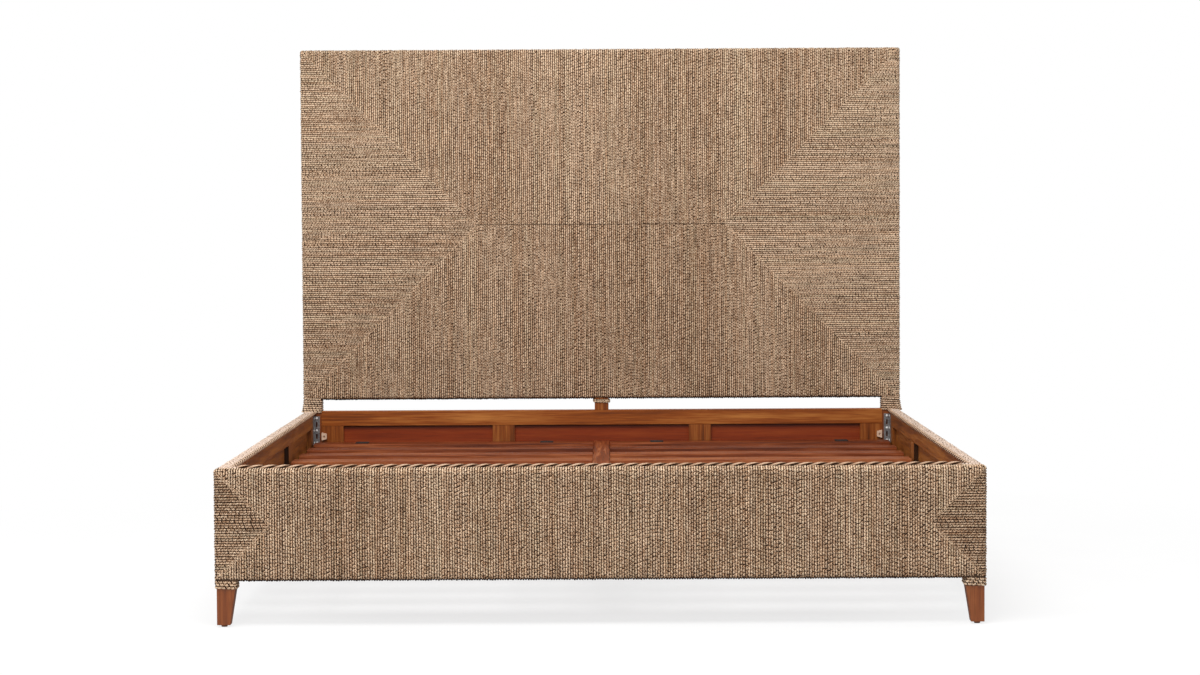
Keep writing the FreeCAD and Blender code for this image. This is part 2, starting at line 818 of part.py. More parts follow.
post_middle = wood_side - d.post_wide / 2
head_post_middle = (head_wood + head_wood_back) / 2
leg_middle = wood_side - leg_wide / 2
foot_leg_middle = foot_wood + leg_wide / 2
head_leg_middle = head_wood_back - head_leg_deep / 2
collar_turns = int(d.collar_turns.number)
center_turns = int(d.center_turns.number)
collar_base = d.rail_cover_base - d.seat_gap - wound_height(d.collar_turns)
neck_base = head_frame_top + d.seat_gap
neck_room = head_cover_base - d.seat_gap - neck_base
neck_turns = int((neck_room.number - d.wind_rope.number) / wind_pitch.number)
collars = []
necks = []
for side_sign in (-1, 1):
    foot_spot = (leg_middle * side_sign, foot_leg_middle, collar_base)
    head_spot = (leg_middle * side_sign, head_leg_middle, collar_base)
    neck_spot = (post_middle * side_sign, head_post_middle, neck_base)
    collars.append(winding("foot collar", leg_wide, leg_wide, collar_turns, *foot_spot))
    collars.append(winding("head collar", leg_wide, head_leg_deep, collar_turns, *head_spot))
    necks.append(winding("neck", d.post_wide, head_post_deep, neck_turns, *neck_spot))
group("post_collars", collars)
group("neck_windings", necks)
center_base = head_cover_base - d.seat_gap - wound_height(d.center_turns)
center_spot = (0, head_wood + d.rail_thick / 2, center_base)
center_rope = winding("center post", d.center_post_wide, d.rail_thick, center_turns, *center_spot)
named("center_post_winding", center_rope)


# Trim ropes, laid where the covers end.

ALONG_X = FreeCAD.Rotation(FreeCAD.Vector(0, 1, 0), 90)
ALONG_Y = FreeCAD.Rotation(FreeCAD.Vector(1, 0, 0), -90)
ALONG_Z = FreeCAD.Rotation()


def trim_rope(turn, wide, length, x, y, z):
    """A straight rope that starts at x, y, z."""
    rope = doc.addObject("Part::Cylinder", "Trim")
    bind(rope, "Radius", wide / 2)
    bind(rope, "Height", length)
    place(rope, x, y, z)
    rope.Placement.Rotation = turn
    return rope


trim_half = d.trim_wide / 2
trim_over_foot = rail_cover_top + d.seat_gap + trim_half
foot_trim_spot = (-post_inside, foot_inside - trim_half, trim_over_foot)
named("foot_trim", trim_rope(ALONG_X, d.trim_wide, between_posts, *foot_trim_spot))
for side_name, side_sign in (("left", -1), ("right", 1)):
    trim_x = (rail_inside - d.seat_gap - trim_half) * side_sign
    trim_z = rail_cover_top + d.side_trim_rise - trim_half
    side_trim = trim_rope(ALONG_Y, d.trim_wide, side_length, trim_x, foot_post_back, trim_z)
    named(f"side_trim_{side_name}", side_trim)

back_half = d.back_trim_wide / 2
back_y = head_wood_back + d.seat_gap + back_half
back_edge = back_lip + d.seat_gap + back_half
back_low = head_cover_base + back_edge
back_high = d.bed_height - back_edge
back_side_low = back_low - back_half
back_side_high = back_high + back_half
back_side_x = post_inside - d.seat_gap - back_half
back_length = back_side_high - back_side_low
cross_reach = back_side_x - back_half - d.seat_gap
back_trim = []
for level in (back_low, back_high):
    back_trim.append(trim_rope(ALONG_X, d.back_trim_wide, 2 * cross_reach, -cross_reach, back_y, level))
for side_sign in (-1, 1):
    upright = (back_side_x * side_sign, back_y, back_side_low)
    back_trim.append(trim_rope(ALONG_Z, d.back_trim_wide, back_length, *upright))
group("headboard_back_trim", back_trim)


# Slats, the webbing straps that tie them into two sets, and what carries them.

first_slat = foot_post_back + d.slat_foot_gap
slat_span = side_length - d.slat_foot_gap - d.slat_head_gap - d.slat_wide
slat_start = d.beam_wide / 2 + d.slat_beam_gap
slat_length = rail_inside - d.slat_side_gap - slat_start
last_edge = first_slat + slat_span + d.slat_wide


def slat_set(label, side):
    body = new_body()
    section = sketch_on(body, "YZ_Plane", slat_start * side if side > 0 else -(slat_start + slat_length))
    rectangle(section, first_slat, first_slat + d.slat_wide, slat_base, slat_top, d.arris)
    slat = pad(body, section, slat_length)
    repeat(body, slat, "Y_Axis", slat_span, d.slat_rows)
    named(label, body)


def outer_strap(side):
    """Under every slat, then up behind the last one and folded onto its top."""
    body = new_body()
    under = slat_base - d.strap_thick
    over = slat_top + d.strap_thick
    behind = last_edge + d.strap_thick
    fold_end = last_edge - d.strap_fold
    middle = (slat_start + slat_length - d.strap_inset) * side
    run = sketch_on(body, "YZ_Plane", middle - d.strap_wide / 2)
    outline(
        run,
        (first_slat, under),
        (behind, under),
        (behind, over),
        (fold_end, over),
        (fold_end, slat_top),
        (last_edge, slat_top),
        (last_edge, slat_base),
        (first_slat, slat_base),
    )
    pad(body, run, d.strap_wide)
    return body


def inner_strap(side):
    body = new_body()
    middle = (slat_start + d.strap_inset) * side
    run = sketch_on(body, "YZ_Plane", middle - d.strap_wide / 2)
    rectangle(run, first_slat, last_edge, slat_base - d.strap_thick, slat_base)
    pad(body, run, d.strap_wide)
    return body


def board(label, role, offset, length, left, right, low, high):
    """A plain square-edged length of wood with eased edges."""
    body = new_body()
    section = sketch_on(body, role, offset)
    rectangle(section, left, right, low, high, d.arris)
    pad(body, section, length, reverse=role == "XZ_Plane")
    named(label, body)


for side_name, side_sign in (("left", -1), ("right", 1)):
    slat_set(f"slats_{side_name}", side_sign)
    group(f"straps_{side_name}", [outer_strap(side_sign), inner_strap(side_sign)])
    ledger_sides = (rail_inside * side_sign, (rail_inside - d.ledger_size) * side_sign)
    ledger_across = sorted(ledger_sides, key=lambda size: size.number)
    ledger_up = (slat_base - d.ledger_size, slat_base)
    board(f"ledger_{side_name}", "XZ_Plane", -foot_post_back, side_length, *ledger_across, *ledger_up)
end_ledger_up = (beam_base - d.ledger_size, beam_base)
foot_ledger_along = (foot_inside, foot_inside + d.ledger_size)
head_ledger_along = (head_wood - d.ledger_size, head_wood)
board("ledger_foot", "YZ_Plane", -post_inside, between_posts, *foot_ledger_along, *end_ledger_up)
board("ledger_head", "YZ_Plane", -post_inside, between_posts, *head_ledger_along, *end_ledger_up)

beam_body = new_body()
beam_section = sketch_on(beam_body, "XZ_Plane", -foot_inside)
rib = d.beam_wide / 2
flange = rib + d.beam_ledge
outline(
    beam_section,
    (-flange, beam_base, d.arris),
    (flange, beam_base, d.arris),
    (flange, slat_base),
    (rib, slat_base),
    (rib, slat_top, d.arris),
    (-rib, slat_top, d.arris),
    (-rib, slat_base),
    (-flange, slat_base),
)
pad(beam_body, beam_section, head_wood - foot_inside, reverse=True)
named("center_beam", beam_body)

stem_top = d.support_base + d.leveler_grip
stem_room = d.leveler_grip + d.leveler_travel + d.seat_gap
support_spots = (
    ("front", d.support_middle - d.support_spacing / 2),
    ("rear", d.support_middle + d.support_spacing / 2),
)


def support_leg(y):
    body = new_body()
    half = d.support_wide / 2
    section = sketch_on(body, "XY_Plane", d.support_base)
    rectangle(section, -half, half, y - half, y + half, d.arris)
    pad(body, section, beam_base - d.support_base)
    bore = sketch_on(body, "XY_Plane", d.support_base)
    circle(bore, 0, y, d.leveler_stem / 2 + d.seat_gap)
    pocket(body, bore, stem_room, reverse=True)
    return body


def leveling_foot(label, y):
    body = new_body()
    profile = sketch_on(body, "XZ_Plane")
    disc = d.leveler_wide / 2
    stem = d.leveler_stem / 2
    outline(
        profile,
        (0, 0),
        (disc, 0),
        (disc, d.leveler_disc / 2),
        (2 * stem, d.leveler_disc),
        (stem, d.leveler_disc),
        (stem, stem_top),
        (0, stem_top),
    )
    revolve(body, profile)
    named(label, place(body, 0, y, 0))


group("support_legs", [support_leg(y) for _, y in support_spots])
for spot_name, spot_y in support_spots:
    leveling_foot(f"leveling_foot_{spot_name}", spot_y)


# Corner angles, drawn with the corner on Z and a leg along -X and one along -Y, and their screws.

screw_x = d.angle_leg / 2
screw_reach = d.angle_high / 2 - d.screw_edge


def angle_leg_holes(body, role):
    holes = sketch_on(body, role)
    angle_slots(holes, -screw_x, as_size(0))
    for level in (-screw_reach, as_size(0), screw_reach):
        circle(holes, -screw_x, level, d.screw_shank / 2)
    pocket(body, holes)


def corner_angle():
    body = new_body()
    bend = sketch_on(body, "XY_Plane")
    outline(
        bend,
        (0, 0),
        (-d.angle_leg, 0),
        (-d.angle_leg, -d.angle_thick),
        (-d.angle_thick, -d.angle_thick),
        (-d.angle_thick, -d.angle_leg),
        (0, -d.angle_leg),
    )
    pad(body, bend, d.angle_high, both_ways=True)
    angle_leg_holes(body, "XZ_Plane")
    angle_leg_holes(body, "YZ_Plane")
    return body


def leg_screws():
    """The screws of the leg along -X, with their heads towards -Y."""
    body = new_body()
    profile = sketch_on(body, "XY_Plane", -screw_reach)
    bind(profile, "AttachmentOffset.Base.x", -screw_x)
    head = d.screw_head / 2
    dome = d.angle_thick + d.screw_dome
    outline(
        profile,
        (0, 0),
        (0, -dome),
        (head / 2, -dome),
        (head, -d.angle_thick - d.screw_dome / 2),
        (head, -d.angle_thick),
        (d.screw_shank / 2, -d.angle_thick),
        (d.screw_shank / 2, 0),
    )
    screw = revolve(body, profile)
    repeat(body, screw, "Z_Axis", 2 * screw_reach, SCREWS_PER_LEG)
    return body


angle = corner_angle()
post_screws = leg_screws()
rail_screws = doc.addObject("Part::Mirroring", "RailScrews")
rail_screws.Source = post_screws
rail_screws.Normal = FreeCAD.Vector(1, -1, 0)
screw_set = doc.addObject("Part::Compound", "ScrewSet")
screw_set.Links = [post_screws, rail_screws]
corner_spots = (
    (rail_inside, head_wood, 0),
    (-rail_inside, head_wood, 90),
    (-rail_inside, foot_post_back, 180),
    (rail_inside, foot_post_back, 270),
)
angles = []
screws = []
for corner_x, corner_y, quarter in corner_spots:
    angles.append(place(copy_of(angle), corner_x, corner_y, angle_middle, quarter))
    screws.append(place(copy_of(screw_set), corner_x, corner_y, angle_middle, quarter))
group("corner_angles", angles)
group("angle_screws", screws)


def nylon_block(side):
    """A block on the end stile, beside the post, with a sunk hole for its screw."""
    body = new_body()
    near = (post_inside - d.block_offset) * side
    far = near - d.block_wide * side
    low = block_middle - d.block_high / 2
    high = block_middle + d.block_high / 2
    face = sketch_on(body, "XZ_Plane", -head_wood)
    outline(face, (near, low), (far, low + d.block_cut), (far, high - d.block_cut), (near, high))
    pad(body, face, d.block_deep)
    hole = sketch_on(body, "XZ_Plane", d.block_deep - head_wood)
    circle(hole, (near + far) / 2, block_middle, d.screw_head / 2)
    pocket(body, hole, d.block_deep / 2)
    return body


group("nylon_blocks", [nylon_block(side) for side in (-1, 1)])

doc.recompute()

for thing in doc.Objects:
    if "Invalid" in thing.State or "Error" in thing.State:
        raise RuntimeError(f"{thing.Name} ({thing.Label}) failed: {thing.State}")
for label, thing in sub_parts.items():
    if thing.Shape.isNull() or not thing.Shape.isValid() or not thing.Shape.Solids:
        raise RuntimeError(f"{label} has no valid solid")

os.makedirs("parts", exist_ok=True)
for label, thing in sub_parts.items():
    thing.Shape.exportStep(f"parts/{label}.step")
    print(f"{label}: {len(thing.Shape.Solids)} solid(s), {thing.Shape.Volume / 1000:.1f} cm3")
print(f"{len(sub_parts)} sub-parts")
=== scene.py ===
# %% [markdown]
# # A bed wrapped in twisted rope
# The real bed is a hardwood frame. Its tall headboard and its low rails are covered in rows of twisted seagrass
# rope, which run over the edges of each board and meet on 45-degree mitres. Inside the rails the wood is bare,
# and two sets of slats rest on ledgers and on a beam along the middle. The construction model already holds
# every board, slat and fitting in its place. This script dresses it: it lays the rope, twists the trims, weaves
# the straps, and finishes the wood, the zinc and the plastic.

import json
import math

import bmesh
import bpy
import numpy as np
from mathutils import Matrix, Vector

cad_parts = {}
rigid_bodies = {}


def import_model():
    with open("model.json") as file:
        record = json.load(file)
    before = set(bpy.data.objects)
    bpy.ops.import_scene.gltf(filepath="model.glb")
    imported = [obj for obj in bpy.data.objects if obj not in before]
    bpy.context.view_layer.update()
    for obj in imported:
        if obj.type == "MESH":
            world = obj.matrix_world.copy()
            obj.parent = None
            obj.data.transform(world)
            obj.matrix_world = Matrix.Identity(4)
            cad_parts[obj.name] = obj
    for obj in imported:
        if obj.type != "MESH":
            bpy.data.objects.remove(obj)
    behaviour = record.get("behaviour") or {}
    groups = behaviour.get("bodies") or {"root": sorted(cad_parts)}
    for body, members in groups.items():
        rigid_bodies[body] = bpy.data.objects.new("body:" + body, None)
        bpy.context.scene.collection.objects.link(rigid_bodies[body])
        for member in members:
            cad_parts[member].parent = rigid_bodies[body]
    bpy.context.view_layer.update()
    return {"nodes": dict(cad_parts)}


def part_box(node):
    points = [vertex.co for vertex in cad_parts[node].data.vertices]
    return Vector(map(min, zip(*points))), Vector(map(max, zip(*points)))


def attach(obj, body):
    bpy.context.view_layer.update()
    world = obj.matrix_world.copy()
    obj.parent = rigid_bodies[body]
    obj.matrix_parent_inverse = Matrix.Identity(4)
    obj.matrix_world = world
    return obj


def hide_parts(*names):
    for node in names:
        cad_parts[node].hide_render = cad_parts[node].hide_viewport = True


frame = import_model()

# %% [markdown]
# ## Planes of the bed
# Every measure that the rope needs is already in the construction model, so it is read from the boxes of the
# nodes instead of being typed again. A later change to the model then moves the rope with it.

# %% Read the planes
head_low, head_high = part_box("headboard_weave_top")
foot_low, foot_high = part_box("foot_weave_field")
post_low, post_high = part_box("foot_post_right")
HALF_WIDTH = head_high.x
HEAD_FRONT, HEAD_BACK = head_low.y, head_high.y
HEAD_SEAM, HEAD_TOP = head_low.z, head_high.z
HEAD_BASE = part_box("headboard_weave_bottom")[0].z
HEAD_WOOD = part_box("head_post_right")[0].y
FOOT_FRONT, FOOT_INSIDE = foot_low.y, foot_high.y
RAIL_BASE, RAIL_TOP = foot_low.z, foot_high.z
FOOT_POST_BACK = post_high.y
POST_INSIDE = post_low.x
POST_TOP = post_high.z
RAIL_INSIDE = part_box("side_frame_right_top_rail")[0].x
LIP = HALF_WIDTH - POST_INSIDE
HEAD_MITRE = HEAD_TOP - HEAD_SEAM
FOOT_MITRE = (RAIL_TOP - RAIL_BASE) / 2
print("headboard", round(2 * HALF_WIDTH, 4), "by", round(HEAD_TOP - HEAD_BASE, 4), "m, back lip", round(LIP, 4))

# %% [markdown]
# ## Writing finishes as sums
# A finish is a net of shader nodes. Written one node at a time it soon fills pages, so two small classes carry
# it: a Value is a node's output that takes part in Python sums, and a Finish is a material that adds any node by
# its type, settings and inputs.


# %% Value and Finish
class Value:
    """A node's output; a sum with other values or numbers adds a Math node."""

    def __init__(self, finish, socket):
        self.finish = finish
        self.socket = socket

    def math(self, operation, first, second=0.0):
        return self.finish.node("ShaderNodeMath", {"operation": operation}, {0: first, 1: second})

    def __add__(self, other):
        return self.math("ADD", self, other)

    def __radd__(self, other):
        return self.math("ADD", other, self)

    def __sub__(self, other):
        return self.math("SUBTRACT", self, other)

    def __mul__(self, other):
        return self.math("MULTIPLY", self, other)

    def sine(self):
        return self.math("SINE", self)


class Finish:
    """A material whose nodes are added by node() and reach the shader by feed()."""

    def __init__(self, name, tree=None):
        if tree is None:
            self.material = bpy.data.materials.new(name)
            self.material.use_nodes = True
            tree = self.material.node_tree
            self.shader = tree.nodes["Principled BSDF"]
        self.tree = tree

    def node(self, kind, settings=None, inputs=None, output=0):
        made = self.tree.nodes.new(kind)
        for name, setting in (settings or {}).items():
            if name == "stops":
                for index, (place, color) in enumerate(setting):
                    stop = made.color_ramp.elements[index] if index < 2 else made.color_ramp.elements.new(place)
                    stop.position = place
                    stop.color = (*color, 1.0)
            else:
                setattr(made, name, setting)
        for name, value in (inputs or {}).items():
            self.link(made.inputs[name], value)
        return Value(self, made.outputs[output])

    def link(self, socket, value):
        if isinstance(value, Value):
            self.tree.links.new(value.socket, socket)
        else:
            socket.default_value = value

    def feed(self, **sockets):
        for name, value in sockets.items():
            self.link(self.shader.inputs[name.replace("_", " ")], value)

    def mix(self, factor, first, second, blend="MIX"):
        inputs = {0: factor, 6: first, 7: second}
        return self.node("ShaderNodeMix", {"data_type": "RGBA", "blend_type": blend}, inputs, 2)

    def ramp(self, factor, *stops):
        return self.node("ShaderNodeValToRGB", {"stops": stops}, {"Fac": factor})

    def noise(self, place, scale, detail=2.0, roughness=0.5):
        inputs = {"Vector": place, "Scale": scale, "Detail": detail, "Roughness": roughness}
        return self.node("ShaderNodeTexNoise", None, inputs)

    def vector(self, operation, *inputs):
        return self.node("ShaderNodeVectorMath", {"operation": operation}, dict(enumerate(inputs)))

    def streaky(self, place, stretch, detail, roughness=0.5):
        return self.noise(self.vector("MULTIPLY", place, stretch), 1.0, detail, roughness)

    def map_range(self, *inputs):
        return self.node("ShaderNodeMapRange", None, dict(enumerate(inputs)))

    def ray(self, kind):
        return self.node("ShaderNodeLightPath", None, None, f"Is {kind} Ray")

    def objects(self):
        return self.node("ShaderNodeTexCoord", None, None, "Object")

    def parts(self, vector):
        split = self.node("ShaderNodeSeparateXYZ", None, {0: vector}).socket.node
        return [Value(self, output) for output in split.outputs]

    def bump(self, height, strength, distance):
        inputs = {"Height": height, "Strength": strength, "Distance": distance}
        return self.node("ShaderNodeBump", None, inputs)


def srgb(red, green, blue):
    """A colour read off a screen, 0 to 255, as the linear numbers that a shader takes."""
    shares = (red / 255, green / 255, blue / 255)
    return tuple(c / 12.92 if c <= 0.04045 else ((c + 0.055) / 1.055) ** 2.4 for c in shares)


print("a mid seagrass tone is", [round(c, 3) for c in srgb(158, 131, 108)])

# %% [markdown]
# ## Seagrass finish
# Seagrass rope is two strands of dried grass twisted together. Each strand comes to the front in a short slanting
# bulge, pale on its crown and dark where two bulges meet. Grass from one bale is alike, so several ropes side by
# side share a tone, and each rope and each bulge still differs a little. Those three chances are stored on the
# mesh as rope_tone when the rope is laid, and the place along and across the rope as rope_place, so the fibres
# can run along the rope round every edge. The third value of rope_place is the share of light that reaches a
# spot: 1 on a crown, nothing in the pit between two bulges.


# %% Seagrass rope
def seagrass(name, deep, mid, pale):
    finish = Finish(name)
    tone = finish.node("ShaderNodeAttribute", {"attribute_name": "rope_tone"}, None, "Vector")
    place = finish.node("ShaderNodeAttribute", {"attribute_name": "rope_place"}, None, "Vector")
    bulge, rope, bale = finish.parts(tone)
    open_share = finish.parts(place)[2]
    fibres = finish.streaky(place, (120.0, 1500.0, 3.0), 3.0, 0.6)
    blades = finish.streaky(place, (18.0, 320.0, 0.0), 2.0)
    # a fine random speckle: partly frayed fibres, partly painted highlight of the strands' twists
    frays_and_glints = finish.streaky(place, (200.0, 260.0, 0.0), 1.0)
    chances = (bulge - 0.5) * 0.25 + (rope - 0.5) * 0.1 + (bale - 0.5) + (frays_and_glints - 0.5) * 0.9
    light = 0.535 + chances + (fibres - 0.5) * 0.3 + (blades - 0.5) * 0.4 + (open_share - 0.82) * 2.0
    grass = finish.ramp(light, (0.0, deep), (1.0, pale), (0.5, mid))
    cut = rope.math("FRACT", rope * 7.3)
    ripeness = finish.ramp(cut, (0.0, (1.0, 0.96, 0.91)), (1.0, (0.965, 0.985, 0.95)), (0.45, (1.0, 1.0, 1.0)))
    grass = finish.mix(1.0, grass, ripeness, "MULTIPLY")
    parted = finish.streaky(place, (11.0, 170.0, 0.0), 1.0)
    crown = finish.map_range(open_share, 0.0, parted * 2.0)
    shaded = tuple(0.12 * c for c in deep)
    finish.feed(Base_Color=finish.mix(crown, (*shaded, 1.0), grass))
    finish.feed(Roughness=0.62 + fibres * 0.3, Normal=finish.bump(fibres, 0.35, 0.0004), Specular_IOR_Level=0.3)
    return finish.material


COVER_ROPE = seagrass("seagrass_rope", srgb(64, 33, 13), srgb(165, 129, 99), srgb(236, 209, 180))
SIDE_RAIL_ROPE = seagrass("faded_rope", srgb(64, 33, 13), srgb(165, 129, 99), srgb(226, 203, 187))
print("made", COVER_ROPE.name, "and", SIDE_RAIL_ROPE.name)

# %% [markdown]
# ## One bulge of rope
# The bed has some eighty-five thousand bulges, so one bulge has very few faces: half a bead with its poles along
# the rope, cut off where it meets the board. Modelling whole strands would take ten times the faces, and a
# picture of rope on a flat board would have no crowns at the edges. The bead is turned by the slant of the twist
# when it is laid.

# %% Half a bead
ROPE_PITCH = 0.007
BULGE_STEP = 0.0098
BULGE_LONG, BULGE_WIDE, BULGE_HIGH = 0.0132, 0.011, 0.0036
BULGE_SLANT = math.radians(30)
ROPE_SUNK = 0.0032
ROPE_PROUD = 0.0012
ROPE_HALF = 0.53 * ROPE_PITCH
CROWN_OPEN, SIDE_OPEN, GROOVE_OPEN = 1.0, 0.93, 0.9
PIT_OPEN, PIT_EDGE_OPEN, TIP_OPEN = -1.3, 0.3, 0.2


def mesh_from(shape, name):
    mesh = bpy.data.meshes.new(name)
    shape.to_mesh(mesh)
    shape.free()
    return mesh


def half_bead():
    bead = bmesh.new()
    bmesh.ops.create_uvsphere(bead, u_segments=4, v_segments=3, radius=1.0)
    bmesh.ops.rotate(bead, verts=bead.verts, cent=(0, 0, 0), matrix=Matrix.Rotation(math.pi / 2, 3, "Y"))
    bmesh.ops.scale(bead, verts=bead.verts, vec=(BULGE_LONG / 2, BULGE_WIDE / 2, BULGE_HIGH))
    whole = bead.verts[:] + bead.edges[:] + bead.faces[:]
    bmesh.ops.bisect_plane(bead, geom=whole, dist=1e-6, plane_co=(0, 0, 0), plane_no=(0, 0, 1), clear_inner=True)
    return mesh_from(bead, "rope_bulge")


bulge_mesh = half_bead()
bulge_shape = np.array([vertex.co for vertex in bulge_mesh.vertices])
at_tip = np.abs(bulge_shape[:, 0]) > 0.4 * BULGE_LONG
in_groove = bulge_shape[:, 0] * bulge_shape[:, 1] > 0
on_crown = bulge_shape[:, 2] > 0.5 * BULGE_HIGH
at_pit = bulge_shape[:, 0] < 0
bulge_open = np.where(on_crown, CROWN_OPEN, np.where(in_groove, GROOVE_OPEN, SIDE_OPEN))
bulge_open[in_groove & at_pit & ~at_tip & ~on_crown] = PIT_EDGE_OPEN
bulge_open[at_tip] = np.where(at_pit[at_tip], PIT_OPEN, TIP_OPEN)
print("a bulge has", len(bulge_mesh.polygons), "faces and", len(bulge_shape), "vertices")

# %% [markdown]
# ## The line over the edges
# A rope runs flat along a board, bends over an edge and runs on. Seen along the edge that is a line of flat runs
# and small arcs. A Curve modifier could bend a flat sheet of rope along such a line, but it would stretch the
# bulges at the bends, so the line is measured here and each bulge is laid on it. The outside of the board is
# always on the left of the line.


# %% Wrap
ROWS_ALONG_X, ROWS_ALONG_Y, ROWS_ALONG_Z = (1, 2, 0), (0, 2, 1), (0, 1, 2)
EDGE_BEND = 0.0105
BEND_STEPS = 6


class Wrap:
    """A line of flat runs and rounded right turns in the plane of two axes, with rows of rope along the third."""

    def __init__(self, axes, corners, bend=EDGE_BEND, closed=False):
        self.axes = axes
        self.side = 1.0 if axes == ROWS_ALONG_Y else -1.0
        corners = [np.array(corner, float) for corner in corners]
        ways = [(b - a) / np.linalg.norm(b - a) for a, b in zip(corners, corners[1:])]
        outs = [np.array((-way[1], way[0])) for way in ways]
        points = [corners[0] - ROPE_SUNK * outs[0]]
        normals = [outs[0]]
        turns = []
        for corner, way, out, later in zip(corners[1:], ways, outs, outs[1:]):
            hub = corner - ROPE_SUNK * (out + later) - bend * (way + out)
            for angle in np.linspace(0, math.pi / 2, BEND_STEPS + 1):
                normal = out * math.cos(angle) + way * math.sin(angle)
                points.append(hub + bend * normal)
                normals.append(normal)
            turns.append(len(points) - 1 - BEND_STEPS // 2)
        points.append(corners[-1] - ROPE_SUNK * outs[-1])
        normals.append(outs[-1])
        self.points = np.array(points)
        self.normals = np.array(normals)
        self.closed = closed
        self.lengths = np.concatenate([[0], np.cumsum(np.linalg.norm(np.diff(self.points, axis=0), axis=1))])
        self.length = self.lengths[-1]
        self.turns = [self.lengths[turn] for turn in turns]

    def lay(self, along, row, across, height):
        """Places for points that are along the line, across a row, and at a height above it."""
        inside = along % self.length if self.closed else along
        place = np.empty((*along.shape, 3))
        normal = np.stack([np.interp(inside, self.lengths, self.normals[:, k]) for k in (0, 1)], -1)
        normal /= np.linalg.norm(normal, axis=-1, keepdims=True)
        for k in (0, 1):
            place[..., self.axes[k]] = np.interp(inside, self.lengths, self.points[:, k]) + height * normal[..., k]
        place[..., self.axes[2]] = row + self.side * across
        return place


def on_side(line, sign):
    """A line of the bed's right side, or its mirror image with the outside still on its left."""
    return line if sign > 0 else [(-x, y) for x, y in reversed(line)]


over_the_head = Wrap(
    ROWS_ALONG_X,
    [(HEAD_FRONT, HEAD_SEAM), (HEAD_FRONT, HEAD_TOP), (HEAD_BACK, HEAD_TOP), (HEAD_BACK, HEAD_TOP - LIP)],
)
print("rope over the headboard's top edge is", round(over_the_head.length, 4), "m long")

# %% [markdown]
# ## Laying rope
# A cover is many ropes side by side. Each has its own length, because the mitres cut it, so bulges are set at even
# steps from one cut to the other, and the first and last are cut off there. Every bulge is a little longer, higher
# or more slanted than the next, and each rope wanders by a fraction of a millimetre, as hand-laid rope does. An
# Array modifier makes the copies, and the copies are then moved to their places all at once, which takes a second
# where thousands of single objects would take minutes.


# %% Rows and runs
BALE_TONE = 0.42
BALE_SHARES = (0.06, 0.024), (0.1, 0.11)
WANDERS = (0.0002, 0.031, 40), (0.0003, 0.08, 90)
WOUND_ENDS = 0.35
LAY_VARIES, PLACE_VARIES, SIZE_VARIES, HEIGHT_VARIES, SLANT_VARIES = 0.08, 0.25, 0.07, 0.14, 0.09


def rope_rows(low, high):
    count = max(1, round((high - low) / ROPE_PITCH))
    return low + (np.arange(count) + 0.5) * (high - low) / count


def bale_tones(rows, chance, reach):
    """Tones that ropes lying side by side share, drawn at steps of reach and blended between."""
    knots = np.arange(rows.min() - 2 * reach, rows.max() + 2 * reach, reach)
    return np.interp(rows, knots, chance.random(len(knots)))


def lay_ropes(wrap, rows, cuts, seed, tone=0.0, rise=0.0, coarse=1.0):
    """Bulges of many ropes along a wrap; cuts(row) gives the runs of that row as pairs of lengths.

    Tone lightens the grass, rise is the climb of a wound rope in one turn, and coarse a factor on the rope's size.
    """
    chance = np.random.default_rng(seed)
    bales = np.full(len(rows), BALE_TONE)
    for share, reach in BALE_SHARES:
        bales += share * bale_tones(rows, chance, reach)
    bales += tone
    runs = [(row, bale, start, end) for row, bale in zip(rows, bales) for start, end in cuts(row)]
    lays = coarse * BULGE_STEP * chance.normal(1.0, LAY_VARIES, len(runs)).clip(0.8, 1.2)
    counts = [max(0, round((end - start) / lay)) for (_, _, start, end), lay in zip(runs, lays)]
    steps = [(end - start) / max(1, count) for (_, _, start, end), count in zip(runs, counts)]
    counts = [count + 1 if count else 0 for count in counts]
    row, bale, start, end, step = (np.repeat(column, counts) for column in (*zip(*runs), steps))
    turn = np.concatenate([np.arange(count) for count in counts])
    size = len(turn)
    offset = np.repeat(chance.random(len(runs)), counts)
    middle = start + (turn + PLACE_VARIES * (chance.random(size) - 0.5) + (offset - 0.5)) * step
    grow = chance.normal(1.0, SIZE_VARIES, (size, 3, 1)).clip(0.8, 1.2)
    grow[:, 2] *= np.repeat(chance.normal(1.0, HEIGHT_VARIES, len(runs)).clip(0.7, 1.3), counts)[:, None]
    slant = (BULGE_SLANT + chance.normal(0.0, SLANT_VARIES, size))[:, None]
    long, wide, high = (coarse * bulge_shape[:, k] * grow[:, k] for k in range(3))
    high = np.minimum(high, ROPE_SUNK + ROPE_PROUD)
    along = middle[:, None] + long * np.cos(slant) - wide * np.sin(slant)
    along = np.clip(along, start[:, None], end[:, None])
    wander = sum(reach * np.sin(along / wave + shift * offset[:, None]) for reach, wave, shift in WANDERS)
    half = coarse * ROPE_HALF
    across = np.clip(long * np.sin(slant) + wide * np.cos(slant), -half, half) + wander
    level = row[:, None] + rise * along / wrap.length
    if rise:
        highest = rise * (end[:, None] / wrap.length - WOUND_ENDS)
        level = np.clip(level, row[:, None] + WOUND_ENDS * rise, row[:, None] + highest)
    spots = wrap.lay(along, level, across, high)
    rope = np.repeat(chance.random(len(runs)), counts)
    tones = np.stack([chance.random(size), rope, bale], -1)
    flat = np.stack([along, level + wrap.side * across, np.tile(bulge_open, (size, 1))], -1)
    return {"spots": spots, "tones": np.repeat(tones[:, None], len(bulge_shape), 1), "flat": flat}


across_bed = rope_rows(-HALF_WIDTH, HALF_WIDTH)
print(len(across_bed), "ropes side by side across the bed")


# %% From bulges to a piece
CORNER_ROUND = 0.014
UNDER_EDGE = 0.007
UNDER_LIGHT = 0.25


def rounded(spots, low, high):
    """Draws points in where they stand outside a box with rounded edges and corners."""
    core = np.clip(spots, np.array(low) + CORNER_ROUND, np.array(high) - CORNER_ROUND)
    out = np.linalg.norm(spots - core, axis=-1, keepdims=True)
    return core + (spots - core) * np.minimum(1.0, (CORNER_ROUND + ROPE_PROUD) / np.maximum(out, 1e-9))


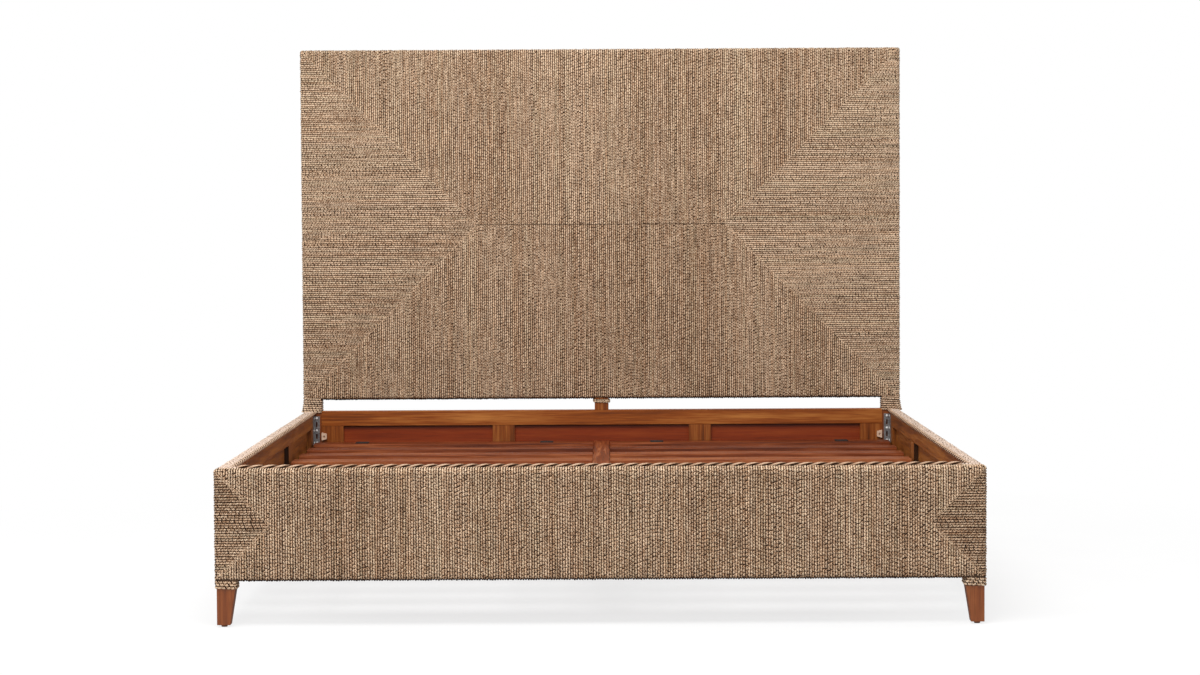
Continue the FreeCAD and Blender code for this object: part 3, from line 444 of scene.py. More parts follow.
def add_object(name, data):
    made = bpy.data.objects.new(name, data)
    bpy.context.collection.objects.link(made)
    return made


def copies_of(mesh, count, step=None):
    """A mesh of many copies, all in one place or each a step on and joined to the one before."""
    single = add_object(mesh.name, mesh)
    copies = single.modifiers.new("Copies", "ARRAY")
    copies.count = count
    copies.use_relative_offset = False
    if step:
        copies.use_constant_offset = True
        copies.constant_offset_displace = step
        copies.use_merge_vertices = True
        copies.merge_threshold = 1e-5
    made = bpy.data.meshes.new_from_object(single.evaluated_get(bpy.context.evaluated_depsgraph_get()))
    bpy.data.objects.remove(single)
    return made


def mark_rope(mesh, tones, places):
    """Stores what the seagrass finish reads."""
    for key, values in (("rope_tone", tones), ("rope_place", places)):
        mesh.attributes.new(key, "FLOAT_VECTOR", "POINT").data.foreach_set("vector", values.ravel())


def placed(mesh, name, finish, body="frame", replaced=()):
    """A piece from a mesh, on the body that it moves with, in place of its construction nodes."""
    mesh.name = name
    mesh.materials.append(finish)
    piece = add_object(name, mesh)
    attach(piece, body)
    if replaced:
        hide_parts(*replaced)
    print(name, len(mesh.polygons), "faces")
    return piece


def rope_piece(name, laid, replaced, box=None, finish=COVER_ROPE):
    """A piece from laid ropes; the box's edges and corners round the rope off."""
    spots, tones, flat = (np.concatenate([part[key] for part in laid]) for key in ("spots", "tones", "flat"))
    if box:
        spots = rounded(spots, *box)
        # painted shade: the rope darkens towards the bottom edge of the box, where its underside is in shade
        flat[..., 2] *= np.clip((spots[..., 2] - box[0][2]) / UNDER_EDGE, UNDER_LIGHT, 1.0)
    mesh = copies_of(bulge_mesh, len(spots))
    mesh.vertices.foreach_set("co", spots.ravel())
    mark_rope(mesh, tones, flat)
    corners = np.empty(len(mesh.loops), int)
    mesh.loops.foreach_get("vertex_index", corners)
    low, high = flat[..., :2].min((0, 1)), flat[..., :2].max((0, 1))
    sheet = ((flat[..., :2] - low) / (high - low)).reshape(-1, 2)
    mesh.uv_layers.new(name="OFBake").uv.foreach_set("vector", sheet[corners].astype(np.float32).ravel())
    mesh.shade_smooth()
    mesh.update()
    placed(mesh, name, finish, "frame", replaced)


# %% [markdown]
# ## Headboard cover
# The headboard has four sections. In the top and bottom sections the rope stands upright and runs over the edge
# to a lip on the back; in the left and right gores it lies level and runs round the side. They meet on mitres
# that start at the corners, and the top and bottom sections meet in a level seam.


# %% Headboard cuts
SEAM_GAP = 0.0008
POST_LAP = 0.002
GORE_POINT = HALF_WIDTH - HEAD_MITRE
under_the_head = Wrap(
    ROWS_ALONG_X,
    [(HEAD_BACK, HEAD_BASE + LIP), (HEAD_BACK, HEAD_BASE), (HEAD_FRONT, HEAD_BASE), (HEAD_FRONT, HEAD_SEAM)],
)
gore_line = [(POST_INSIDE, HEAD_BACK), (HALF_WIDTH, HEAD_BACK), (HALF_WIDTH, HEAD_FRONT), (GORE_POINT, HEAD_FRONT)]
round_the_left, round_the_right = (Wrap(ROWS_ALONG_Z, on_side(gore_line, sign)) for sign in (-1, 1))


def top_cuts(x):
    inset = HALF_WIDTH - abs(x)
    return [(max(SEAM_GAP, HEAD_MITRE - inset), over_the_head.length - max(0.0, LIP - inset))]


def bottom_cuts(x):
    inset = HALF_WIDTH - abs(x)
    first = 0.0 if abs(x) < POST_INSIDE else under_the_head.turns[1] - POST_LAP
    return [(first, under_the_head.length - max(SEAM_GAP, HEAD_MITRE - inset))]


def right_cuts(z):
    inset = min(HEAD_TOP - z, z - HEAD_BASE)
    return [(max(0.0, LIP - (HEAD_TOP - z)), round_the_right.turns[1] + inset)]


def left_cuts(z):
    inset = min(HEAD_TOP - z, z - HEAD_BASE)
    return [(round_the_left.turns[0] - inset, round_the_left.length - max(0.0, LIP - (HEAD_TOP - z)))]


# %% Headboard rope
HEAD_BOX = (-HALF_WIDTH, HEAD_FRONT, HEAD_BASE), (HALF_WIDTH, HEAD_BACK, HEAD_TOP)
up_head = rope_rows(HEAD_BASE, HEAD_TOP)
# The section tones are partly the grass's own and partly painted light, which makes the headboard lighter than the
# foot rail.
for part, wrap, rows, cuts, seed, tone in (
    ("top", over_the_head, across_bed, top_cuts, 11, -0.01),
    ("bottom", under_the_head, across_bed, bottom_cuts, 12, -0.03),
    ("left", round_the_left, up_head, left_cuts, 13, 0.03),
    ("right", round_the_right, up_head, right_cuts, 14, 0.1),
):
    laid = lay_ropes(wrap, rows, cuts, seed, tone)
    rope_piece(f"headboard_rope_{part}", [laid], [f"headboard_weave_{part}"], HEAD_BOX)

# %% [markdown]
# ## Foot and side covers
# The foot rail is covered like the headboard: upright rope in the middle, level rope in two small gores at the
# ends, wrapped over the top and under the rail. The side rails have upright rope from end to end, and a few
# short rows cap the top of each foot post. The rails' tops are painted paler, a painted highlight where light
# falls on them from above.

# %% Foot rope
FOOT_POINT = HALF_WIDTH - FOOT_MITRE
# The foot rope is a little darker: partly its own tone, partly painted shade against the headboard.
FOOT_TONE = -0.05
over_the_foot = Wrap(
    ROWS_ALONG_X,
    [(FOOT_INSIDE, RAIL_BASE), (FOOT_FRONT, RAIL_BASE), (FOOT_FRONT, RAIL_TOP), (FOOT_INSIDE, RAIL_TOP)],
)
foot_line = [(HALF_WIDTH, FOOT_POST_BACK), (HALF_WIDTH, FOOT_FRONT), (FOOT_POINT, FOOT_FRONT)]
foot_left, foot_right = (Wrap(ROWS_ALONG_Z, on_side(foot_line, sign)) for sign in (-1, 1))


def foot_cuts(x):
    inset = HALF_WIDTH - abs(x)
    low, high = over_the_foot.turns
    first = 0.0 if abs(x) < POST_INSIDE else low - POST_LAP
    if inset >= FOOT_MITRE:
        return [(first, over_the_foot.length)]
    return [(first, low + inset), (high - inset, over_the_foot.length)]


def foot_right_cuts(z):
    return [(0.0, foot_right.turns[0] + min(RAIL_TOP - z, z - RAIL_BASE))]


def foot_left_cuts(z):
    return [(foot_left.turns[0] - min(RAIL_TOP - z, z - RAIL_BASE), foot_left.length)]


RAIL_BOX = (-HALF_WIDTH, FOOT_FRONT, RAIL_BASE), (HALF_WIDTH, HEAD_BACK, RAIL_TOP)
up_foot = rope_rows(RAIL_BASE, POST_TOP)
for part, wrap, rows, cuts, seed in (
    ("field", over_the_foot, across_bed, foot_cuts, 21),
    ("left", foot_left, up_foot, foot_left_cuts, 22),
    ("right", foot_right, up_foot, foot_right_cuts, 23),
):
    laid = lay_ropes(wrap, rows, cuts, seed, FOOT_TONE)
    rope_piece(f"foot_rope_{part}", [laid], [f"foot_weave_{part}"], RAIL_BOX)


# %% Side rope
def whole_run(wrap):
    return lambda row: [(0.0, wrap.length)]


CAP_LAP = 0.008
SIDE_TONE = -0.03
TOP_PAINTED_LIGHT = 0.5
TOP_LIGHT_DEEP = 0.03
rail_line = [(RAIL_INSIDE, RAIL_TOP), (HALF_WIDTH, RAIL_TOP), (HALF_WIDTH, RAIL_BASE), (RAIL_INSIDE, RAIL_BASE)]
cap_line = [(POST_INSIDE, RAIL_TOP), (HALF_WIDTH, RAIL_TOP), (HALF_WIDTH, POST_TOP - CAP_LAP)]


def side_rope(side, sign, seed):
    laid = []
    for line, low, high in ((rail_line, FOOT_POST_BACK, HEAD_WOOD), (cap_line, FOOT_INSIDE, FOOT_POST_BACK)):
        wrap = Wrap(ROWS_ALONG_Y, on_side(line, sign))
        part = lay_ropes(wrap, rope_rows(low, high), whole_run(wrap), seed + len(laid), SIDE_TONE)
        # painted highlight: the rope is lightened within a few centimetres of the rail's top
        depth = (RAIL_TOP - part["spots"][..., 2]) / TOP_LIGHT_DEEP
        part["tones"][..., 2] += TOP_PAINTED_LIGHT * np.clip(1.0 - depth, 0.0, 1.0)
        laid.append(part)
    rope_piece(f"side_rope_{side}", laid, [f"side_weave_{side}"], RAIL_BOX, SIDE_RAIL_ROPE)


side_rope("left", -1, 31)
side_rope("right", 1, 33)

# %% [markdown]
# ## Post covers and windings
# Below the headboard the outer faces of the head posts are covered with level rope. Between the headboard and
# the rails, above each leg and round the short center post, one rope is wound round and round, climbing by its
# own thickness each turn. That is the same line as before, closed on itself, with a rise.

# %% Post covers
cover_line = [(POST_INSIDE, HEAD_BACK), (HALF_WIDTH, HEAD_BACK), (HALF_WIDTH, HEAD_WOOD)]
for side, sign, seed in (("left", -1, 41), ("right", 1, 42)):
    cover = Wrap(ROWS_ALONG_Z, on_side(cover_line, sign))
    node = f"head_post_cover_{side}"
    cover_low, cover_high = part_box(node)
    laid = lay_ropes(cover, rope_rows(cover_low.z, cover_high.z), whole_run(cover), seed)
    rope_piece(f"head_post_rope_{side}", [laid], [node])


# %% Windings
WOUND_TONE = 0.05
WOUND_BEND = 0.006
WINDING_TUCK = 0.004
COLLAR_COARSE = 1.12
NECK_TOP_TUCK = 0.009
NECK_FLARE = 0.12
NECK_TIGHT = Vector((0.003, 0, 0))


def wound_rope(low, high, thick, base, top, seed, flare=0.0, coarse=1.0):
    """One rope wound round the post whose plan runs from low to high; flare widens its lowest turns."""
    left, right = low[0] - thick, high[0] + thick
    front, back = low[1] - thick, high[1] + thick
    middle = (left + right) / 2
    corners = [(middle, back), (right, back), (right, front), (left, front), (left, back), (middle, back)]
    wrap = Wrap(ROWS_ALONG_Z, corners, WOUND_BEND, True)
    turns = max(1, round((top - base) / (coarse * ROPE_PITCH)))
    run = [(0.0, turns * wrap.length)]
    laid = lay_ropes(wrap, np.array([base]), lambda row: run, seed, WOUND_TONE, (top - base) / turns, coarse)
    hub = np.array([min(max(left, 0.0), right), (front + back) / 2])
    depth = np.clip((top - laid["spots"][..., 2:]) / (top - base), 0.0, 1.0)
    laid["spots"][..., :2] = hub + (laid["spots"][..., :2] - hub) * (1 + flare * depth**2)
    return laid


collar_low, collar_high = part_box("post_collars")
COLLAR_THICK = collar_high.x - post_high.x
collar_spots = np.array([vertex.co for vertex in frame["nodes"]["post_collars"].data.vertices])
legs = []
for side, end in ((-1, 1), (1, 1), (-1, -1), (1, -1)):
    one = collar_spots[(side * collar_spots[:, 0] > 0) & (end * collar_spots[:, 1] > 0)]
    legs.append((one.min(0) + COLLAR_THICK, one.max(0) - COLLAR_THICK))
collar_top = RAIL_BASE + WINDING_TUCK
collars = [
    wound_rope(low, high, COLLAR_THICK, collar_low.z, collar_top, 51 + k, coarse=COLLAR_COARSE)
    for k, (low, high) in enumerate(legs)
]
rope_piece("post_collar_ropes", collars, ["post_collars"])
left_low, left_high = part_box("head_post_left")
right_low, right_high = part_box("head_post_right")
head_posts = [(left_low, left_high - NECK_TIGHT), (right_low + NECK_TIGHT, right_high)]
neck_base, neck_top = RAIL_TOP - WINDING_TUCK, HEAD_BASE + NECK_TOP_TUCK
necks = [
    wound_rope(low, high, COLLAR_THICK, neck_base, neck_top, 61 + k, NECK_FLARE)
    for k, (low, high) in enumerate(head_posts)
]
rope_piece("neck_winding_ropes", necks, ["neck_windings"])
center_low, center_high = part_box("center_post_winding")
center_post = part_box("headboard_center_post")
center_thick = center_high.x - center_post[1].x
center = wound_rope(*center_post, center_thick, center_low.z, center_high.z, 71)
rope_piece("center_post_rope", [center], ["center_post_winding"])

# %% [markdown]
# ## The board behind the rope
# Between two ropes one looks down into a dark slit. A thin dark backing just under the bulges closes every slit;
# its dark colour is painted shade.
# Each backing is a box with its open sides taken away; on the headboard the back is inset first, so a lip stays
# all round.

# %% Backing
BACKING_GAP = 0.0002
BACKING_DEEP = ROPE_SUNK + BACKING_GAP
BACKING_ROUND = CORNER_ROUND - BACKING_DEEP
backing = bmesh.new()


def open_box(low, high, open_sides, lip=None):
    """A box without the sides that face the given ways; with a lip, the open side keeps a border."""
    size = Vector(high) - Vector(low)
    middle = (Vector(high) + Vector(low)) / 2
    made = bmesh.ops.create_cube(backing, size=1.0)["verts"]
    bmesh.ops.scale(backing, verts=made, vec=size)
    bmesh.ops.translate(backing, verts=made, vec=middle)
    faces = {face for vertex in made for face in vertex.link_faces}
    for face in faces:
        face.normal_update()
    gone = [face for face in faces if any(face.normal.dot(Vector(way)) > 0.9 for way in open_sides)]
    kept = faces.difference(gone)
    if lip:
        kept.update(bmesh.ops.inset_region(backing, faces=gone, thickness=lip, use_even_offset=True)["faces"])
    bmesh.ops.delete(backing, geom=gone, context="FACES")
    folds = {edge for face in kept for edge in face.edges}
    folds = [edge for edge in folds if len(edge.link_faces) == 2 and edge.calc_face_angle() > 1.0]
    bmesh.ops.bevel(
        backing, geom=folds, offset=BACKING_ROUND, affect="EDGES", segments=3, profile=0.5, material=-1,
    )


BACK, FRONT, UP, DOWN = (0, 1, 0), (0, -1, 0), (0, 0, 1), (0, 0, -1)
deep = BACKING_DEEP
reach = HALF_WIDTH - deep
post_cover_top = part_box("neck_windings")[0].z
open_box(
    (-reach, HEAD_FRONT + deep, HEAD_BASE + deep), (reach, HEAD_BACK - deep, HEAD_TOP - deep), [BACK], LIP - deep
)
open_box((-reach, FOOT_FRONT + deep, RAIL_BASE + deep), (reach, FOOT_INSIDE, RAIL_TOP - deep), [BACK])
for sign in (-1, 1):
    inward = (-sign, 0, 0)
    left, right = sorted((sign * RAIL_INSIDE, sign * reach))
    open_box(
        (left, FOOT_POST_BACK, RAIL_BASE + deep), (right, HEAD_WOOD, RAIL_TOP - deep), [inward, BACK, FRONT]
    )
    left, right = sorted((sign * POST_INSIDE, sign * reach))
    open_box((left, FOOT_INSIDE, POST_TOP), (right, FOOT_POST_BACK, RAIL_TOP - deep), [DOWN])
    open_box(
        (left, FOOT_FRONT + deep, RAIL_BASE), (right, FOOT_POST_BACK, POST_TOP), [inward, BACK, UP, DOWN]
    )
    open_box((left, HEAD_WOOD, RAIL_BASE), (right, HEAD_BACK - deep, post_cover_top), [inward, FRONT, UP, DOWN])


def sleeve(box, thick, base, top):
    low, high = box
    grow = thick - BACKING_DEEP
    open_box((low[0] - grow, low[1] - grow, base), (high[0] + grow, high[1] + grow, top), [UP, DOWN])


for box in legs:
    sleeve(box, COLLAR_THICK, collar_low.z, collar_high.z)
for box in head_posts:
    sleeve(box, COLLAR_THICK, RAIL_TOP, HEAD_BASE)
sleeve(center_post, center_thick, center_low.z, center_high.z)


# %% Backing piece
def shadowed_grass():
    finish = Finish("shadowed_grass")
    # the backing's colour is painted shade, mottled a little
    shade_mottle = finish.noise(finish.objects(), 160.0, 3.0)
    finish.feed(Base_Color=finish.ramp(shade_mottle, (0.3, srgb(44, 30, 20)), (0.7, srgb(82, 60, 42))))
    finish.feed(Roughness=0.85 + shade_mottle * 0.1)
    return finish.material


placed(mesh_from(backing, "rope_backing"), "rope_backing", shadowed_grass())

# %% [markdown]
# ## Trim ropes
# A thicker twisted pair of strands lies along the inner top edges of the rails and round the recess in the back
# of the headboard. Here the strands are long and few, so they are modelled in full: a small ring is spun round
# the trim's middle line with a step forward, which gives a screw, and a second strand starts half a turn later.


# %% Twisted pair
TRIM_ROPE = seagrass("trim_rope", srgb(84, 54, 34), srgb(164, 128, 101), srgb(206, 176, 151))
TRIM_LAY, BACK_TRIM_LAY = 0.072, 0.036
TRIM_STEPS = 14
TRIM_SUNK = 0.002
TRIM_FULL = 1.3
TRIM_END_GAP = 0.001
TRIM_TONE, SIDE_TRIM_TONE = 0.5, 0.75
STRAND_THICK, STRAND_OUT = 0.3, 0.2
CLEFT_DEEP, CLEFT_FADE = 0.25, 0.2


def one_turn(diameter, lay):
    """Two strands through one full turn about Z."""
    turn = bmesh.new()
    for half in (0, 1):
        ring = bmesh.ops.create_circle(turn, cap_ends=False, segments=8, radius=STRAND_THICK * diameter)["verts"]
        bmesh.ops.translate(turn, verts=ring, vec=(STRAND_OUT * diameter, 0, 0))
        bmesh.ops.rotate(turn, verts=ring, cent=(0, 0, 0), matrix=Matrix.Rotation(math.pi * half, 3, "Z"))
        edges = list({edge for vertex in ring for edge in vertex.link_edges})
        bmesh.ops.spin(
            turn, geom=ring + edges, cent=(0, 0, 0), axis=(0, 0, 1), dvec=(0, 0, lay / TRIM_STEPS),
            angle=-2 * math.pi, steps=TRIM_STEPS, use_merge=False,
        )
    bmesh.ops.recalc_face_normals(turn, faces=turn.faces)
    return turn


def twisted_pair(start, end, diameter, lay, seed, tone=TRIM_TONE):
    """A mesh of two strands twisted from start to end, with the tones and places that the seagrass finish reads."""
    start, end = Vector(start), Vector(end)
    length = (end - start).length
    count = round(length / lay)
    turn = mesh_from(one_turn(diameter, length / count), "trim_turn")
    mesh = copies_of(turn, count, (0, 0, length / count))
    spots = np.empty(3 * len(mesh.vertices))
    mesh.vertices.foreach_get("co", spots)
    x, y, z = spots.reshape(-1, 3).T
    chance = np.random.default_rng(seed)
    winding = np.floor((np.arctan2(y, x) / (2 * math.pi) + z / length * count) * 2).astype(int)
    bulges = chance.random(4 * count + 9)[winding]
    tones = np.stack([bulges, np.full(len(x), 0.5), tone + 0.08 * np.sin(z / 0.07)], -1)
    open_share = np.minimum((np.hypot(x, y) / diameter - CLEFT_DEEP) / CLEFT_FADE, 1.0)
    mark_rope(mesh, tones, np.stack([z, np.arctan2(y, x) * diameter / 2, open_share], -1))
    mesh.transform(Matrix.Translation(start) @ (end - start).to_track_quat("Z", "Y").to_matrix().to_4x4())
    return mesh


def trim_piece(name, pairs, node):
    shape = bmesh.new()
    for mesh in pairs:
        shape.from_mesh(mesh)
    bmesh.ops.holes_fill(shape, edges=[edge for edge in shape.edges if edge.is_boundary], sides=8)
    mesh = mesh_from(shape, name)
    mesh.shade_smooth()
    placed(mesh, name, TRIM_ROPE, replaced=[node])


def trim_along(name, node, axis, seed, tone=TRIM_TONE):
    low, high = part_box(node)
    start, end = ((low + high) / 2 - Vector((0, 0, TRIM_SUNK)) for _ in range(2))
    start[axis], end[axis] = low[axis] + TRIM_END_GAP, high[axis] - TRIM_END_GAP
    trim_piece(name, [twisted_pair(start, end, TRIM_FULL * (high.z - low.z), TRIM_LAY, seed, tone)], node)


trim_along("foot_trim_rope", "foot_trim", 0, 81)
trim_along("side_trim_rope_left", "side_trim_left", 1, 82, SIDE_TRIM_TONE)
trim_along("side_trim_rope_right", "side_trim_right", 1, 83, SIDE_TRIM_TONE)

# %% Trim of the recess in the back
low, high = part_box("headboard_back_trim")
cord = high.y - low.y
depth = (low.y + high.y) / 2
near = cord / 2
levels = [((low.x, depth, z), (high.x, depth, z)) for z in (low.z + near, high.z - near)]
uprights = [((x, depth, low.z + cord), (x, depth, high.z - cord)) for x in (low.x + near, high.x - near)]
pairs = [twisted_pair(*ends, cord, BACK_TRIM_LAY, 85 + k) for k, ends in enumerate(levels + uprights)]
trim_piece("headboard_back_trim_rope", pairs, "headboard_back_trim")

# %% [markdown]
# ## Webbing straps
# Two dark straps run under each set of slats and fold over the rear slat. Between slats a strap hangs a little.
# Its line is a few points along the slats, extruded to its width and given thickness. The weave is a checker of
# small ribs in the finish.


# %% Webbing
STRAP_WIDE = 0.045
STRAP_SAG = (0.25, 0.0028), (0.5, 0.0038), (0.75, 0.0028)
STRAP_BEND = 0.001
STRAP_TAIL = 0.06
SLAT_ROWS = 10
SLAT_WIDE = 0.090
WARP_STEP, WEFT_STEP = 0.0022, 0.0034


def webbing_finish():
    finish = Finish("woven_webbing")
    x, y, z = finish.parts(finish.objects())
    warp = (x * (2 * math.pi / WARP_STEP)).sine()
    weft = ((y + z) * (2 * math.pi / WEFT_STEP)).sine()
    weave = warp * weft
    fuzz = finish.noise(finish.objects(), 700.0, 3.0)
    light = 0.5 + weave * 0.3 + (fuzz - 0.5) * 0.6
    stops = (0.0, srgb(18, 18, 19)), (1.0, srgb(70, 68, 66)), (0.5, srgb(38, 37, 37))
    finish.feed(Base_Color=finish.ramp(light, *stops))
    finish.feed(Roughness=0.75 + fuzz * 0.2, Normal=finish.bump(weave, 0.6, 0.0005))
    return finish.material


WEBBING = webbing_finish()
slats_low, slats_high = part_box("slats_left")
SLAT_STEP = (slats_high.y - slats_low.y - SLAT_WIDE) / (SLAT_ROWS - 1)
print("slats every", round(SLAT_STEP, 4), "m")


def strap(shape, low, high, left):
    """A strap under the slats from the first to the last, folded up behind the last and forward over it."""
    thick = slats_low.z - low.z
    under, over = low.z + thick / 2, high.z - thick / 2
    gap = SLAT_STEP - SLAT_WIDE
    line = []
    for row in range(SLAT_ROWS):
        front = slats_low.y + row * SLAT_STEP
        rear = front + SLAT_WIDE
        line.append((front if row else low.y, under))
        if row < SLAT_ROWS - 1:
            line.append((rear, under))
            line += [(rear + gap * share, under - drop) for share, drop in STRAP_SAG]
        else:
            line.append((rear - STRAP_BEND, under))
    back = high.y - thick / 2
    line += [(back, under + STRAP_BEND), (back, over - STRAP_BEND), (back - STRAP_BEND, over)]
    line += [(slats_high.y - STRAP_TAIL / 2, over), (slats_high.y - STRAP_TAIL, over)]
    verts = [shape.verts.new((left, y, z)) for y, z in line]
    edges = [shape.edges.new(pair) for pair in zip(verts, verts[1:])]
    made = bmesh.ops.extrude_edge_only(shape, edges=edges)["geom"]
    moved = [part for part in made if isinstance(part, bmesh.types.BMVert)]
    bmesh.ops.translate(shape, verts=moved, vec=(STRAP_WIDE, 0, 0))
    bmesh.ops.recalc_face_normals(shape, faces=shape.faces)
    return thick


for side in ("left", "right"):
    node, name = f"straps_{side}", f"webbing_straps_{side}"
    low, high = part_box(node)
    shape = bmesh.new()
    for left in (low.x, high.x - STRAP_WIDE):
        thick = strap(shape, low, high, left)
    mesh = mesh_from(shape, name)
    mesh.shade_smooth()
    piece = placed(mesh, name, WEBBING, f"slat_set_{side}", [node])
    wall = piece.modifiers.new("Thickness", "SOLIDIFY")
    wall.thickness = thick
    wall.offset = 0.0

# %% [markdown]
# ## Wood finishes
# The inside of the bed is hardwood under a thin satin stain. The grain runs along each board, so noise is
# stretched along that axis: broad streaks for the growth of the tree, fine lines for its pores. Boards cut from
# different trees differ, so the coordinates are also rounded to the boards' spacing and give each board its own
# tone. A painted shadow darkens the wood under the head frame's top rail, upright boards and the rails' inner
# faces take darker copies of the stain as painted shade, and faces towards the foot inside the side rails are
# darker.


# %% Stained wood
ONE_BOARD, FAR = 20.0, -10.0
BOARDS_APART = (7.0, 7.0, 7.0)
NO_PAINTED_SHADOW = 9.0
PAINTED_SHADOW_DEEP = 0.013
DARK_FACES_END = 0.85


def stained_wood(
    name, deep, mid, pale, grain, boards=(ONE_BOARD,) * 3, start=(FAR,) * 3,
    figure=1.0, corner=NO_PAINTED_SHADOW, darker_foot_faces=False,
):
    """Wood with its grain along axis 0, 1 or 2; boards are the steps at which another board begins.

    A smaller figure gives a calmer grain. Under the corner level the wood is darkened, a painted shadow, and a
    switch darkens the faces that point towards the foot.
    """
    finish = Finish(name)
    place = finish.objects()
    board = finish.vector("SNAP", finish.vector("SUBTRACT", place, start), boards)
    chance = finish.node("ShaderNodeTexWhiteNoise", {"noise_dimensions": "3D"}, {"Vector": board})
    color = Value(finish, chance.socket.node.outputs["Color"])
    apart = finish.vector("MULTIPLY_ADD", color, BOARDS_APART, place)
    broad, fine, pore = [[42.0] * 3, [190.0] * 3, [520.0] * 3]
    broad[grain], fine[grain], pore[grain] = 2.2, 7.0, 14.0
    streaks = finish.streaky(apart, broad, 4.0, 0.55)
    lines = finish.streaky(apart, fine, 3.0, 0.6)
    pores = finish.streaky(apart, pore, 2.0)
    light = 0.5 + (streaks - 0.5) * (1.7 * figure) + (lines - 0.5) * (1.3 * figure) + (chance - 0.5) * 0.28
    stain = finish.ramp(light, (0.12, deep), (0.88, pale), (0.5, mid))
    dark = finish.map_range(pores, 0.58, 0.72, 0.0, 0.45)
    stain = finish.mix(dark, stain, (*(0.55 * c for c in deep), 1.0))
    _, length, height = finish.parts(place)
    # faces that point towards the foot, inside the side rails, are darkened
    if darker_foot_faces:
        facing = finish.parts(finish.node("ShaderNodeTexCoord", None, None, "Normal"))[1]
        edge = finish.map_range(facing, -0.5, -0.9, 0.0, 0.95)
        darkened = length.math("LESS_THAN", length, DARK_FACES_END) * edge
    else:
        # painted shadow: the wood darkens just under the given level, where the rail above casts shade
        darkened = finish.map_range(height, corner - PAINTED_SHADOW_DEEP, corner, 0.0, 0.9)
    finish.feed(Base_Color=finish.mix(darkened, stain, (*(0.2 * c for c in deep), 1.0)))
    finish.feed(Roughness=0.40 + lines * 0.22 + dark * 0.2, Normal=finish.bump(lines - dark * 0.6, 0.25, 0.0004))
    return finish.material


HONEY = (srgb(80, 34, 4), srgb(132, 66, 18), srgb(172, 108, 50))
# Upright boards take a darker copy of the honey stain: painted shade, as they stand deeper in shadow under the
# rails.
SHADED_STILE = (srgb(70, 30, 4), srgb(122, 61, 18), srgb(158, 98, 46))
# The side rails' inner faces take a darker, browner copy of the honey stain: painted shade, as they stand edge-on
# to the front light.
RAIL_INNER = (srgb(64, 30, 6), srgb(128, 71, 26), srgb(162, 103, 46))
PLYWOOD = (srgb(104, 62, 32), srgb(148, 99, 58), srgb(180, 131, 86))
RED_PANEL = (srgb(84, 26, 4), srgb(120, 44, 12), srgb(142, 66, 26))
SLAT = (srgb(76, 28, 6), srgb(120, 56, 24), srgb(160, 94, 56))
POST = (srgb(74, 32, 10), srgb(124, 64, 28), srgb(156, 94, 50))
AXES = "xyz"
honey = [stained_wood(f"honey_wood_{AXES[k]}", *(SHADED_STILE if k == 2 else HONEY), k, figure=0.75) for k in range(3)]
inner = {k: stained_wood(f"rail_inner_wood_{AXES[k]}", *RAIL_INNER, k, figure=0.8, darker_foot_faces=True) for k in (1, 2)}
panel_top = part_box("head_frame_top_rail")[0].z
# the red panels get a painted shadow under the head frame's top rail
red_panel = stained_wood("red_panel_x", *RED_PANEL, 0, figure=0.5, corner=panel_top)
slat_start = (FAR, slats_low.y - (SLAT_STEP - SLAT_WIDE) / 2, FAR)
slat_wood = stained_wood("slat_wood", *SLAT, 0, (ONE_BOARD, SLAT_STEP, ONE_BOARD), slat_start)
beam_wood = stained_wood("beam_wood", *SLAT, 1)
plywood = stained_wood("plywood", *PLYWOOD, 0, figure=0.7)
POST_STEP = 1.5
post_start = (-POST_STEP, -POST_STEP, FAR)
post_wood = stained_wood("post_wood", *POST, 2, (POST_STEP, POST_STEP, ONE_BOARD), post_start, 0.5)
print("made", len(honey) + len(inner) + 5, "wood finishes")

# %% [markdown]
# ## Metal and plastic finishes
# The corner angles and screws are zinc plated: crystals of slightly different grey, with fine scratches that
# change the gloss. The blocks are cream nylon, faintly mottled. The glides are brown plastic and the leveling feet
# black, with a fine moulded texture.


# %% Zinc, nylon and plastic
def zinc_plate(name, dark, pale, metallic):
    finish = Finish(name)
    place = finish.objects()
    crystal = finish.node("ShaderNodeTexVoronoi", None, {"Vector": place, "Scale": 190.0}, "Color")
    facet = finish.parts(crystal)[0]
    rubbed = finish.streaky(place, (900.0, 60.0, 900.0), 2.0)
    finish.feed(Base_Color=finish.ramp(facet * 0.6 + rubbed * 0.4, (0.2, dark), (0.8, pale)))
    finish.feed(Roughness=0.30 + facet * 0.12 + rubbed * 0.12, Normal=finish.bump(rubbed, 0.15, 0.0002))
    finish.feed(Metallic=metallic)
    return finish.material


def moulded(name, dark, pale, scale, rough):
    finish = Finish(name)
    place = finish.objects()
    mottle = finish.noise(place, scale, 3.0)
    pebble = finish.noise(place, 1400.0, 1.0)
    finish.feed(Base_Color=finish.ramp(mottle, (0.3, dark), (0.7, pale)))
    finish.feed(Roughness=rough + (pebble - 0.5) * 0.2, Normal=finish.bump(pebble, 0.2, 0.0002))
    return finish.material


zinc = zinc_plate("zinc_plate", srgb(122, 122, 124), srgb(158, 158, 158), 0.6)
# The screws' zinc is painted near-white: a painted highlight for the glint on their heads, brighter than the
# plate's zinc.
zinc_painted_glint = zinc_plate("zinc_painted_glint", srgb(224, 224, 222), srgb(244, 244, 242), 0.3)
nylon = moulded("cream_nylon", srgb(198, 168, 144), srgb(222, 196, 172), 60.0, 0.5)
glide_plastic = moulded("glide_plastic", srgb(120, 76, 54), srgb(158, 108, 82), 90.0, 0.55)
foot_plastic = moulded("leveling_plastic", srgb(26, 26, 27), srgb(46, 46, 47), 90.0, 0.5)
print("made two kinds of zinc, nylon, and brown and black plastic")

# %% [markdown]
# ## Finishing the boards
# Each construction node keeps its shape and only gets its finish. The rules go from the name of a board to the
# way its grain runs: rails along the bed's width or length, stiles and posts upright, panels along their board.


